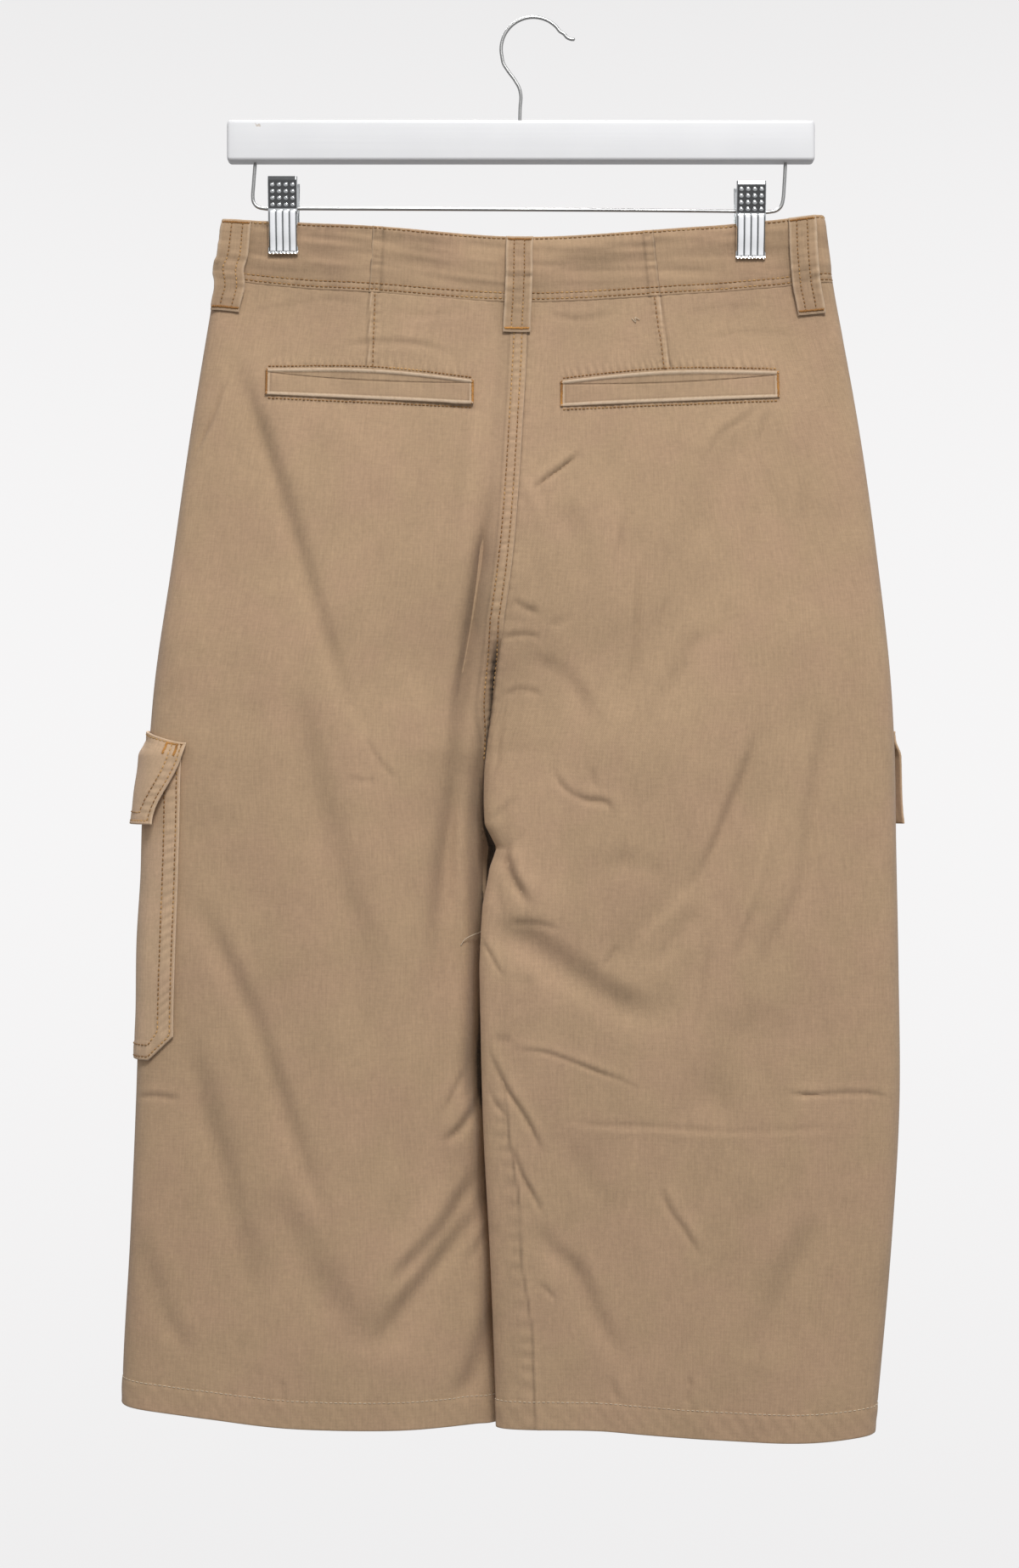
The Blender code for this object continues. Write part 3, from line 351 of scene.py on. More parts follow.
def soft_noise(u, v, seed):
    """Smooth noise from -1 to 1: seeded numbers on a unit lattice, eased between."""
    lattice = np.random.default_rng(seed).uniform(-1, 1, (64, 64))
    u, v = np.broadcast_arrays(u, v)
    left, low = np.floor(u).astype(int), np.floor(v).astype(int)
    s, t = ease(u - left), ease(v - low)
    corner = [lattice[(left + i) % 64, (low + j) % 64] for i in (0, 1) for j in (0, 1)]
    return ((corner[0] * (1 - t) + corner[1] * t) * (1 - s)
            + (corner[2] * (1 - t) + corner[3] * t) * s)


def outer_fold(side, z):
    """x of the fold at the garment's left or right outline."""
    return curve(SECTIONS, z, 1 if side == LEFT else 2)


def centre_seam(z):
    """x of the seat seam and its continuation down to the hem."""
    return curve(SECTIONS, z, 3)


def inner_edge(side, z):
    """x of a leg's inner edge; above the crotch it keeps close to the centre seam."""
    below = curve(INSEAMS, z, 1 if side == LEFT else 2)
    return np.where(z > CROTCH, centre_seam(z) + side * SEAM_SPREAD, below)


def fold_depth(face, x, z):
    """All large folds of one face: each is a soft trough along an arc."""
    depth = np.zeros(np.broadcast(x, z).shape)
    for fold_face, x0, z0, x1, z1, bow, width, deep in FOLDS:
        if fold_face != face:
            continue
        over, rise = x1 - x0, z1 - z0
        length = np.hypot(over, rise)
        t = ((x - x0) * over + (z - z0) * rise) / length ** 2
        inside = np.clip(t, 0, 1)
        bend = 4 * inside * (1 - inside)
        off = ((z - z0) * over - (x - x0) * rise) / length - bow * bend
        depth += deep * bell(off, width) * ease(1.6 * bend)
    return depth


def trail(points, steps=24):
    """Smooth line through points, as that many equal steps of their running length."""
    points = np.asarray(points, float)
    length = run(points[:, :2])
    at = np.linspace(0, length[-1], steps)
    return np.stack([smooth(at, length, points[:, i]) for i in range(points.shape[1])], 1)


def crease_depth(face, x, z):
    """Depth and shade of all fine creases of one face.

    Each is a bell across its line, with a lower bell beside it of the other sign. Both fade
    to nothing at the line's ends, and a slow noise makes them uneven along it. The shade is
    painted shade in the trough and on the slope to its ridge, and painted light (below 0) on
    the ridges, which also wear paler.
    """
    x, z = np.broadcast_arrays(x, z)
    depth, shade = np.zeros(x.shape), np.zeros(x.shape)
    for number, (crease_face, width, deep, lean, points) in enumerate(CREASES):
        if crease_face != face:
            continue
        line = trail(points)
        low, high = line.min(0) - 5 * width, line.max(0) + 5 * width
        near = (x > low[0]) & (x < high[0]) & (z > low[1]) & (z < high[1])
        if not near.any():
            continue
        at = np.stack([x[near], z[near]], 1)
        start, way = line[:-1], np.diff(line, axis=0)
        offset = at[:, None, :] - start[None]
        t = np.clip((offset * way).sum(2) / (way ** 2).sum(1), 0, 1)
        gap = offset - t[..., None] * way
        distance = np.hypot(gap[..., 0], gap[..., 1])
        best = distance.argmin(1)
        rows = np.arange(len(at))
        sign = np.sign(way[best, 0] * gap[rows, best, 1] - way[best, 1] * gap[rows, best, 0])
        along = (best + t[rows, best]) / len(way)
        off = distance[rows, best] * sign / width
        uneven = 1 + 0.35 * soft_noise(along * 5 + number, 0.5 * number, 7)
        strength = deep * uneven * ease(4 * along) * ease(3 * (1 - along))
        beside = off * np.sign(lean) - 1.7
        ridge = abs(lean) * bell(beside, np.where(beside > 0, 2.2, 0.9))
        depth[near] += strength * (bell(off, 1) - ridge)
        slope = bell(off - 0.6 * np.sign(lean), 0.9)
        shade[near] += strength * (slope - 0.5 * ridge) / (0.6 + 0.25 * width)
    return depth, shade


def slot_at(z, number):
    """One column of the slot's table at a height, straight between its rows."""
    return np.interp(-z, [-row[0] for row in SLOT], column(SLOT, number))


def slot_share(away, z, lip=SLOT_LIP):
    """How far the left leg has sunk into the slot, from 0 on its roll to 1 in the dark."""
    return ease((slot_at(z, 1) + lip - away) / lip)


def ring(side, w, z, fine=True):
    """Middle of the cloth round one side of the garment, as x and y.

    Above the crotch the section is half of a flat oval about the centre seam, and below
    it a whole oval round the leg. Between them the two are blended. The outer fold has a
    small round roll, the clips press the waist flat, and folds and creases push in.
    """
    centre, outer, inner = centre_seam(z), outer_fold(side, z), inner_edge(side, z)
    leg = ease((BLEND_START - z) / (BLEND_START - CROTCH))
    x_trunk = centre + (outer - centre) * np.cos(w * pi / 2)
    x_leg = (inner + outer) / 2 + (outer - inner) / 2 * np.cos(w * pi)
    x = (1 - leg) * x_trunk + leg * x_leg
    half = curve(SECTIONS, z, 4)
    round_leg = ease((SOFT_BLEND[0] - z) / (SOFT_BLEND[0] - SOFT_BLEND[1])) if fine else leg
    y = half * ((1 - round_leg) * np.sin(w * pi / 2) + round_leg * np.sin(w * pi))
    from_fold = np.abs(outer - x)
    y = y + np.sign(w) * np.sqrt(2 * FOLD_ROUND * from_fold) * np.exp(-from_fold / (2 * FOLD_REACH))
    held = sum(np.exp(-(np.maximum(np.abs(x - clip) - PINCH_HALF, 0) / PINCH_REACH) ** 2)
               for clip in CLIPS) * ease((z - PINCH_END) / (PINCH_TOP - PINCH_END))
    y = (1 - held) * y + held * PINCH_DEPTH * np.tanh(y / PINCH_DEPTH)
    free = 1 - np.exp(-(y / 7) ** 2)
    deep = np.where(y < 0, fold_depth(BACK, x, z), fold_depth(FRONT, x, z))
    if fine:
        loose = ease((-150 - z) / 60)
        creased = np.where(y < 0, crease_depth(BACK, x, z)[0], crease_depth(FRONT, x, z)[0])
        deep = FOLD_SHARE * deep + creased
        for size, tall, seed in WAVES:
            deep = deep + loose * tall * soft_noise(x / size, z / (1.5 * size), seed + (y < 0))
    y = y - np.sign(y) * free * deep
    away = np.abs(x - inner)
    tuck = -side * curve(INSEAMS, z, 3)
    y = y + tuck * (1 - ease(away / TUCK_REACH)) * (z < CROTCH)
    if fine:
        width, sink, shift, rise, reach = (slot_at(z, number) for number in range(1, 6))
        near = 1 - ease(away / SLOT_REACH)
        if side == LEFT:
            behind = w < 0
            roll = bell(away - width - SLOT_LIP - 3, 4.5) * ease((BLEND_START - z) / 40)
            y = y + behind * (sink * slot_share(away, z) * ease(away / 6) - 1.6 * roll)
            x = x + reach * near
        else:
            x = x + shift * (1 - ease(away / NOTCH_REACH))
            y = y - rise * near
    return x, y


def skin(side, w, z):
    """Points of the skin: the ring's x and y with z."""
    return np.stack([*ring(side, w, z), z], -1)


def measured(side, z):
    """Many values of w at one height and the way round the ring to each from w = 0."""
    w = np.linspace(-1.3, 1.3, 1301)
    length = run(np.stack(ring(side, w, np.full_like(w, z), fine=False), -1))
    return w, length - np.interp(0, w, length)


def w_at(side, distance, z, start=0):
    """w of the point at a distance round the ring from w = start, one height at a time."""
    w, length = measured(side, z)
    return np.interp(distance, length - np.interp(start, w, length), w)


def front_drop(w):
    """How much lower the waist is at w, from nothing at the fold to all of it at the front."""
    return FRONT_DROP * np.sin(np.clip(w, 0, 1) * pi / 2) ** 2


def height(side, w, level):
    """Real height of a level: near the waist it follows the seam, near the end the hem."""
    x = ring(side, w, level, fine=False)[0]
    waist = curve(WAIST, x, 2) - SEAM_LEVEL - front_drop(w)
    hem = curve(HEM, x, 1) - HEM_LEVEL
    near_waist = 1 - ease((SEAM_LEVEL - level) / WAIST_FADE)
    near_hem = 1 - ease((level - HEM_LEVEL) / HEM_FADE)
    return level + waist * near_waist + hem * near_hem


def band_height(side, w, up):
    """Height in the waistband: up is 0 at its seam and 1 at its upper edge."""
    level = np.full_like(w, SEAM_LEVEL)
    top = curve(WAIST, ring(side, w, level, fine=False)[0], 1) - front_drop(w)
    return (1 - up) * height(side, w, level) + up * top


def back_w(side, x, z):
    """w on the back of the trunk for an x at a height."""
    centre = centre_seam(z)
    return -2 / pi * np.arccos(np.clip((x - centre) / (outer_fold(side, z) - centre), -1, 1))


# ============================================================ shader writing
class Value:
    """A socket's number, so that shader maths reads as Python."""

    def __init__(self, finish, socket):
        self.finish, self.socket = finish, socket

    def math(self, operation, *others):
        """One Math node on this value and the others."""
        ends = [self, *others]
        return self.finish.node("ShaderNodeMath", dict(operation=operation), dict(enumerate(ends)))

    def __add__(self, other):
        return self.math("ADD", other)

    def __sub__(self, other):
        return self.math("SUBTRACT", other)

    def __rsub__(self, other):
        return self.math("MULTIPLY", -1.0).math("ADD", other)

    def __mul__(self, other):
        return self.math("MULTIPLY", other)

    __radd__, __rmul__ = __add__, __mul__

    def step(self, low, high):
        """0 below low and 1 above high, eased between; the other way round if low is higher."""
        ends = {"Value": self, "From Min": low, "From Max": high}
        return self.finish.node("ShaderNodeMapRange", dict(interpolation_type="SMOOTHSTEP"), ends)


class Finish:
    """A material with one Principled shader and short ways to add nodes to it."""

    def __init__(self, name, **constants):
        self.material = bpy.data.materials.new(name)
        self.material.use_nodes = True
        self.tree = self.material.node_tree
        self.shader = self.tree.nodes["Principled BSDF"]
        for socket, value in constants.items():
            self.shader.inputs[socket.replace("_", " ")].default_value = value

    def node(self, kind, settings=None, ends=None, out=0):
        """Any node: its settings first, then its sockets' values or links."""
        made = self.tree.nodes.new(kind)
        for setting, value in (settings or {}).items():
            setattr(made, setting, value)
        for key, value in (ends or {}).items():
            if isinstance(value, Value):
                self.tree.links.new(value.socket, made.inputs[key])
            else:
                made.inputs[key].default_value = value
        return Value(self, made.outputs[out])

    def to(self, socket, value):
        """Feeds the shader's socket."""
        self.tree.links.new(value.socket, self.shader.inputs[socket])

    def place(self):
        """Place on the object, in metres."""
        return self.node("ShaderNodeTexCoord", out="Object")

    def field(self, name):
        """One of the mesh's own fields."""
        return self.node("ShaderNodeAttribute", dict(attribute_name=name), out="Fac")

    def scaled(self, vector, scale):
        """Place stretched by a scale along each axis."""
        return self.node("ShaderNodeMapping", None, {"Vector": vector, "Scale": scale})

    def noise(self, vector, scale, detail=2.0, rough=0.5):
        """Cloudy noise from 0 to 1."""
        ends = {"Vector": vector, "Scale": scale, "Detail": detail, "Roughness": rough}
        return self.node("ShaderNodeTexNoise", None, ends)

    def mix(self, share, one, two):
        """Colour between two colours or links."""
        ends = {0: share, 6: one, 7: two}
        return self.node("ShaderNodeMix", dict(data_type="RGBA"), ends, out=2)

    def tint(self, colour, amount):
        """A colour made lighter or darker by a number."""
        ends = {0: colour, "Scale": amount}
        return self.node("ShaderNodeVectorMath", dict(operation="SCALE"), ends)

    def bump(self, height, distance, strength=1.0, normal=None):
        """Normal of a relief, on top of another one if it is given."""
        ends = {"Height": height, "Distance": distance, "Strength": strength}
        if normal is not None:
            ends["Normal"] = normal
        return self.node("ShaderNodeBump", None, ends)


RIB_PITCH, THREAD_PITCH = 0.0009, 0.0006  # of the weave, in metres


def twill(name, colour, faded=(0.60, 0.47, 0.35), weave=1.0):
    """Washed cotton twill.

    Fine diagonal ribs on the piece's own UV map, slubs along both threads, slow clouds of
    fading, pale worn threads where the field "edge" is near 0, painted shade along seam
    lines and stitch rows where "seam" is near 0, and painted shade and light from "shade".
    """
    finish = Finish(name, Roughness=0.92, Specular_IOR_Level=0.18, Sheen_Weight=0.12,
                    Sheen_Roughness=0.55)
    cloth = finish.node("ShaderNodeUVMap", dict(uv_map="cloth"))
    split = finish.node("ShaderNodeSeparateXYZ", None, {0: cloth})
    along, up = (Value(finish, split.socket.node.outputs[axis]) for axis in (0, 1))
    rib = ((along + up * 1.25) * (tau / RIB_PITCH)).math("SINE")
    thread = ((along - up * 0.15) * (tau / THREAD_PITCH)).math("SINE")
    warp = finish.noise(finish.scaled(cloth, (900, 60, 1)), 1.0, 3.0, 0.6)
    weft = finish.noise(finish.scaled(cloth, (90, 900, 1)), 1.0, 3.0, 0.6)
    place = finish.place()
    cloud = finish.noise(place, 14, 3.0, 0.55)
    blotch = finish.noise(place, 55, 3.0, 0.6)
    grain = finish.noise(place, 420, 2.0, 0.7)
    # tone: random fading and weave, less painted shade from the field "shade" (painted light where
    # it is below 0)
    tone = (1.0 + 0.17 * (cloud - 0.5) + 0.15 * (blotch - 0.5) + 0.34 * (warp - 0.5)
            + 0.18 * (weft - 0.5) + 0.26 * (grain - 0.5) + 0.02 * rib
            - 0.10 * finish.field("shade"))
    broken = (finish.noise(place, 260, 3.0, 0.7) * 1.5 + 0.05).step(0.25, 0.95)
    worn = finish.field("edge").step(1.15, 0.25) * (0.35 + 0.6 * broken)
    # painted shade along seam lines and stitch rows
    painted_shade = finish.field("seam").step(0.9, 0.1)
    red, green, blue = colour
    rosy = finish.noise(place, 26, 2.0, 0.5).step(0.35, 0.7)
    hue = finish.mix(rosy, (red * 0.995, green, blue * 0.99, 1),
                     (red * 1.01, green * 0.99, blue * 1.01, 1))
    base = finish.tint(hue, tone)
    base = finish.mix(worn * 0.75, base, (*faded, 1))
    base = finish.mix(painted_shade * 0.6, base, (0.15, 0.09, 0.045, 1))
    finish.to("Base Color", base)
    slack = finish.noise(finish.scaled(place, (34, 34, 15)), 1.0, 2.0, 0.45)
    relief = 0.5 * rib + 0.2 * thread + 1.3 * warp + 1.2 * weft
    normal = finish.bump(relief, 0.00010 * weave, 0.7, finish.bump(slack, 0.0030, 0.6))
    finish.to("Normal", finish.bump(grain, 0.00012 * weave, 0.3, normal))
    finish.to("Roughness", 0.86 + 0.1 * blotch)
    return finish.material


def thread_finish(name, colour, pale):
    """Two-ply sewing thread: a fine twist along it, a little gloss and faded stretches."""
    finish = Finish(name, Specular_IOR_Level=0.3, Sheen_Weight=0.1)
    place = finish.place()
    fade = finish.noise(place, 34, 3.0, 0.6).step(0.46, 0.66)
    finish.to("Base Color", finish.mix(fade, (*colour, 1), (*pale, 1)))
    twist = finish.noise(place, 2600, 1.0, 0.5)
    finish.to("Roughness", 0.55 + 0.25 * twist)
    finish.to("Normal", finish.bump(twist, 0.0001, 0.6))
    return finish.material


def paint():
    """White satin paint with faint brush marks; bare wood in a few small chips on its edges."""
    finish = Finish("white_paint", Roughness=0.42, Coat_Weight=0.15, Coat_Roughness=0.3)
    place = finish.place()
    dust = finish.noise(place, 30, 3.0, 0.6)
    chips = finish.noise(place, 120, 2.0, 0.5).step(0.745, 0.76)
    white = finish.mix(dust, (0.66, 0.66, 0.665, 1), (0.71, 0.71, 0.71, 1))
    finish.to("Base Color", finish.mix(chips * 0.6, white, (0.42, 0.33, 0.24, 1)))
    brush = finish.noise(finish.scaled(place, (3, 40, 220)), 1.0, 3.0, 0.6)
    finish.to("Normal", finish.bump(brush - chips * 0.8, 0.0002, 0.3))
    return finish.material


def metal(name, colour, rough, marks=0.12):
    """Metal with painted shade where the field "hollow" is near 1, as between pressed ribs.

    Where the field is near -1, on their crests, it has a painted white glare of the room, with less
    metal shine.
    """
    finish = Finish(name)
    depth = finish.field("hollow")
    # painted glare on the crests; the colour further down gets painted shade in the hollows
    painted_glare = depth.step(-0.1, -0.6)
    painted_shade = tuple(0.2 * part for part in colour)
    base = finish.mix(depth.step(0.1, 0.8), (*colour, 1), (*painted_shade, 1))
    finish.to("Base Color", finish.mix(painted_glare, base, (0.93, 0.94, 0.95, 1)))
    finish.to("Metallic", 1.0 - 0.8 * painted_glare)
    scuffs = finish.noise(finish.place(), 300, 3.0, 0.65)
    finish.to("Roughness", rough + marks * scuffs)
    return finish.material


def horn():
    """Polished horn, clouded from light to dark brown."""
    finish = Finish("horn_button", Roughness=0.35, Coat_Weight=0.2)
    cloud = finish.noise(finish.scaled(finish.place(), (90, 90, 320)), 1.0, 3.0, 0.6)
    finish.to("Base Color", finish.mix(cloud, (0.16, 0.10, 0.055, 1), (0.34, 0.24, 0.14, 1)))
    return finish.material


TWILL = twill("washed_twill", (0.43, 0.292, 0.179))
# darker than the body twill: partly the band's own tone, partly painted shade
TWILL_BAND = twill("washed_twill_band", (0.368, 0.248, 0.151), (0.53, 0.395, 0.27))
# painted light: a lighter copy of the twill for the leg pockets and their flaps
TWILL_BAG_LIT = twill("washed_twill_bag_lit", (0.53, 0.366, 0.23), (0.68, 0.54, 0.40))
TWILL_POCKET = twill("washed_twill_pocket", (0.39, 0.265, 0.163), (0.60, 0.47, 0.34))
GOLD = thread_finish("golden_thread", (0.25, 0.125, 0.04), (0.56, 0.33, 0.125))
ORANGE = thread_finish("tack_thread", (0.29, 0.13, 0.032), (0.54, 0.25, 0.055))
CREAM = thread_finish("cream_thread", (0.62, 0.52, 0.38), (0.52, 0.42, 0.30))
PAINT = paint()
STEEL = metal("drawn_wire", (0.42, 0.42, 0.41), 0.28)
CHROME = metal("chrome_plate", (0.80, 0.82, 0.82), 0.07, 0.08)
BRASS = metal("old_brass", (0.50, 0.38, 0.20), 0.35)
BUTTON = horn()
TAPE = twill("zip_weave", (0.20, 0.15, 0.10), (0.26, 0.20, 0.14), 0.5)


# ============================================================ meshes
def kept(count):
    """Numbers of the rows kept on a wall's hidden side: all near both ends, else every third."""
    if count < 14:
        return np.arange(count)
    return np.concatenate([np.arange(4), np.arange(6, count - 5, 3), np.arange(count - 4, count)])


def halves(quads):
    """Two triangles for each quad."""
    return np.concatenate([quads[:, [0, 1, 2]], quads[:, [0, 2, 3]]])


def hoops(number):
    """Quads between rows of points, each of which closes on itself."""
    following = np.roll(number, -1, axis=1)
    return np.stack([number[:-1], following[:-1], following[1:], number[1:]], -1).reshape(-1, 4)


def closed_tube(rows, columns):
    """Quads of a tube: round it between its rows of points, and across its two ends."""
    number = np.arange(rows * columns).reshape(rows, columns)
    faces = [hoops(number)]
    for row, turn in ((number[0], -1), (number[-1], 1)):
        near, far = row[:columns // 2], row[::-1][:columns // 2]
        faces.append(np.stack([near[:-1], near[1:], far[1:], far[:-1]], 1)[:, ::turn])
    return np.concatenate(faces)


def closed_wall(outer, inner):
    """Points and faces of a wall between two grids, and which points its inner side keeps.

    The inner side is coarser, and the rim between the two sides is a fan wherever one of its
    points is left out.
    """
    rows, columns = outer.shape[:2]
    number = np.arange(rows * columns).reshape(rows, columns)
    few = number[np.ix_(kept(rows), kept(columns))]
    place = np.full(rows * columns, -1)
    place[few.ravel()] = np.arange(few.size) + rows * columns
    sides = []
    for grid in (number, few):
        quads = np.stack([grid[:-1, :-1], grid[:-1, 1:], grid[1:, 1:], grid[1:, :-1]], -1)
        sides.append(quads.reshape(-1, 4))
    edge = np.concatenate([number[0], number[1:, -1], number[-1, -2::-1], number[-2:0:-1, 0]])
    below = place[edge]
    last = np.maximum.accumulate(np.where(below >= 0, np.arange(len(edge)), 0))
    below = below[last]
    following, under = np.roll(edge, -1), np.roll(below, -1)
    rim = np.stack([following, edge, below], -1)
    joint = np.stack([following, below, under], -1)[below != under]
    points = np.concatenate([outer.reshape(-1, 3), inner.reshape(-1, 3)[few.ravel()]])
    faces = np.concatenate([halves(sides[0]), halves(place[sides[1]][:, ::-1]), rim, joint])
    return points, faces, few.ravel()


def make_mesh(name, points, faces, material, uv=None, fields=None, sharp=55):
    """Mesh of quads or triangles (in millimetres) with a UV map and named fields."""
    faces = np.asarray(faces, np.int32)
    sides = faces.shape[1]
    mesh = bpy.data.meshes.new(name)
    mesh.vertices.add(len(points))
    mesh.vertices.foreach_set("co", (np.asarray(points) * MM).astype(np.float32).ravel())
    mesh.loops.add(faces.size)
    mesh.loops.foreach_set("vertex_index", faces.ravel())
    mesh.polygons.add(len(faces))
    mesh.polygons.foreach_set("loop_start", np.arange(0, faces.size, sides, dtype=np.int32))
    mesh.update(calc_edges=True)
    if uv is not None:
        layer = mesh.uv_layers.new(name="cloth")
        layer.data.foreach_set("uv", (uv * MM)[faces.ravel()].astype(np.float32).ravel())
    for key, values in (fields or {}).items():
        attribute = mesh.attributes.new(key, "FLOAT", "POINT")
        attribute.data.foreach_set("value", np.asarray(values, np.float32).ravel())
    mesh.shade_smooth()
    mesh.set_sharp_from_angle(angle=radians(sharp))
    mesh.materials.append(material)
    made = bpy.data.objects.new(name, mesh)
    bpy.context.scene.collection.objects.link(made)
    return made


def place_piece(made, slot, *nodes):
    """Carried by the body, with the solids that it stands for hidden. slot is not used."""
    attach(made, "root")
    if nodes:
        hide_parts(*nodes)
    return made


def spread(length, step, start=(0.15, 0.5, 1.1, 2.0), end=None):
    """Places along a length: close together near both ends and evenly between."""
    end = start if end is None else end
    count = max(3, int(round((length - start[-1] - end[-1]) / step)) + 1)
    middle = np.linspace(start[-1], length - end[-1], count)
    return np.concatenate([start[:-1], middle, length - np.asarray(end[:-1])[::-1]])


def grid_normals(points, facing):
    """Unit normals of a grid whose rows run down and whose columns run with w."""
    across = np.gradient(points, axis=1)
    upward = -np.gradient(points, axis=0)
    return unit(np.cross(across, upward) * facing)


def over_cloth(thick):
    """From the middle of a panel's wall to the middle of a wall that lies on it."""
    return CLOTH / 2 + LIE_GAP + thick / 2


FAR = 1e3  # distance where a piece has no such edge or seam


class Piece:
    """One sewn piece: a grid of points on the skin, with places across and down it in mm.

    base is the middle of its wall before its own relief, lift and relief move it out, and
    edge and seam are distances to the nearest faded edge and the nearest seam line, which gets
    painted shade. shade is painted shade, and painted light where it is below 0.
    """

    def __init__(self, base, facing, across, down, thick, lift=0.0, relief=0.0, edge=FAR,
                 seam=FAR, shade=0.0):
        self.across, self.down = np.asarray(across, float), np.asarray(down, float)
        self.facing = facing
        shape = base.shape[:2]
        a, d = np.meshgrid(self.across, self.down)
        border = np.minimum.reduce([a - self.across[0], self.across[-1] - a,
                                    d - self.down[0], self.down[-1] - d])
        inside = np.clip(border / (0.6 * thick), 0, 1)
        taper = 0.30 + 0.70 * np.sqrt(1 - (1 - inside) ** 2)
        out = np.broadcast_to(lift + relief, shape)[..., None]
        middle = base + grid_normals(base, facing) * out
        self.normal = grid_normals(middle, facing)
        half = (thick / 2 * taper)[..., None] * self.normal
        self.outer, self.inner = middle + half, middle - half
        self.fields = {"edge": np.broadcast_to(edge, shape), "seam": np.broadcast_to(seam, shape),
                       "shade": np.broadcast_to(shade, shape)}

    def build(self, name, material, nodes, slot="cotton_twill"):
        """Makes the closed mesh, with a UV map in the cloth's own millimetres."""
        points, faces, few = closed_wall(self.outer, self.inner)
        if self.facing > 0:
            faces = faces[:, ::-1]
        middle = (self.outer + self.inner) / 2
        row, col = middle.shape[0] // 2, middle.shape[1] // 2
        uv = np.stack(np.meshgrid(run(middle[row]), -run(middle[:, col])), -1).reshape(-1, 2)
        hidden = {"edge": FAR, "seam": FAR, "shade": 0.0}
        fields = {key: np.concatenate([values.ravel(), np.full(few.size, hidden[key])])
                  for key, values in self.fields.items()}
        made = make_mesh(name, points, faces, material, np.concatenate([uv, uv[few]]), fields)
        return place_piece(made, slot, *nodes)

    def at(self, across, down):
        """Outer points and normals at places on the piece, by bilinear interpolation."""
        col = np.interp(across, self.across, np.arange(len(self.across)))
        row = np.interp(down, self.down, np.arange(len(self.down)))
        i = np.clip(row.astype(int), 0, len(self.down) - 2)
        j = np.clip(col.astype(int), 0, len(self.across) - 2)
        s, t = (row - i)[..., None], (col - j)[..., None]
        found = []
        for grid in (self.outer, self.normal):
            upper = grid[i, j] * (1 - t) + grid[i, j + 1] * t
            lower = grid[i + 1, j] * (1 - t) + grid[i + 1, j + 1] * t
            found.append(upper * (1 - s) + lower * s)
        return found

    def across_at(self, x, down):
        """Places across the piece of points with a given x and place down it."""
        rows = np.interp(down, self.down, np.arange(len(self.down)))
        found = []
        for row, value in zip(rows, x):
            line = self.outer[int(round(row)), :, 0]
            order = np.argsort(line)
            found.append(np.interp(value, line[order], self.across[order]))
        return np.array(found)


# ============================================================ stitching
TACK_PITCH = 0.55  # from one thread of a bar tack to the next
STITCH_COVER = 0.72  # share of a row's pitch that a stitch takes
STITCH_RISE = 0.1  # how far its ends lie above the cloth's face
CAPSULE = (  # the squares of points along a stitch
    # share of its length, share of its radius, height
    (0, 0.4, -0.15), (0.16, 1, 0.14), (0.84, 1, 0.14), (1, 0.4, -0.15),
)
CHANCE = np.random.default_rng(41)


class Stitching:
    """All stitches of one thread in one area, gathered and made as one mesh."""

    def __init__(self, name, material, slot, radius=0.27):
        self.name, self.material, self.slot, self.radius = name, material, slot, radius
        self.ends = []

    def row(self, piece, path, pitch=3.1):
        """Stitches along a path of (across, down) places on a piece."""
        path = np.asarray(path, float)
        length = run(path)
        fine = np.linspace(0, length[-1], max(8, int(length[-1] / 0.8)))
        points, normals = piece.at(*(np.interp(fine, length, path[:, i]) for i in (0, 1)))
        way = run(points)
        count = max(1, int(way[-1] / pitch))
        middle = (np.arange(count) + 0.5) * way[-1] / count
        half = way[-1] / count * STITCH_COVER / 2 * CHANCE.uniform(0.88, 1.06, count)
        start, end, up = (np.stack([np.interp(at, way, grid[:, i]) for i in range(3)], 1)
                          for grid, at in ((points, middle - half), (points, middle + half),
                                           (normals, middle)))
        side = unit(np.cross(end - start, up))
        stray = CHANCE.normal(0, 0.07, (2, count, 1))
        self.ends.append((start + side * stray[0] + up * STITCH_RISE,
                          end + side * stray[1] + up * STITCH_RISE, up))

    def tack(self, piece, path, width):
        """Dense zigzag of thread across a path, as at the ends of pockets and loops."""
        path = np.asarray(path, float)
        length = run(path)
        count = max(4, int(length[-1] / TACK_PITCH))
        at = np.linspace(0, length[-1], count + 1)
        centre = np.stack([np.interp(at, length, path[:, i]) for i in (0, 1)], 1)
        way = unit(np.gradient(centre, axis=0))
        off = np.stack([-way[:, 1], way[:, 0]], 1) * width / 2
        sign = np.where(np.arange(count + 1) % 2, 1, -1)[:, None]
        zig = centre + off * sign * CHANCE.uniform(0.8, 1.15, (count + 1, 1))
        points, normals = piece.at(zig[:, 0], zig[:, 1])
        up = (normals[:-1] + normals[1:]) / 2
        self.ends.append((points[:-1] + STITCH_RISE * up, points[1:] + STITCH_RISE * up, up))

    def build(self):
        """Each stitch is a four-sided capsule whose middle arches out of the cloth."""
        start, end, up = (np.concatenate([row[i] for row in self.ends]) for i in range(3))
        way = end - start
        side = unit(np.cross(way, up))
        share, thick, arch = np.array(CAPSULE).T
        thick = thick * self.radius
        turn = (np.arange(4) + 0.5) * tau / 4
        centre = start[:, None] + way[:, None] * share[:, None] + up[:, None] * arch[:, None]
        spoke = (up[:, None, None] * np.cos(turn)[:, None]
                 + side[:, None, None] * np.sin(turn)[:, None]) * thick[:, None, None]
        points = (centre[:, :, None] + spoke).reshape(-1, 3)
        one = np.arange(4)
        two = np.roll(one, -1)
        quads = [np.stack([one, two, two + 4, one + 4], 1) + 4 * i for i in range(3)]
        tris = halves(np.concatenate(quads + [[one[::-1]], [one + 12]]))
        faces = (tris[None] + 16 * np.arange(len(start))[:, None, None]).reshape(-1, 3)
        made = make_mesh(self.name, points, faces, self.material, sharp=80)
        return place_piece(made, self.slot)


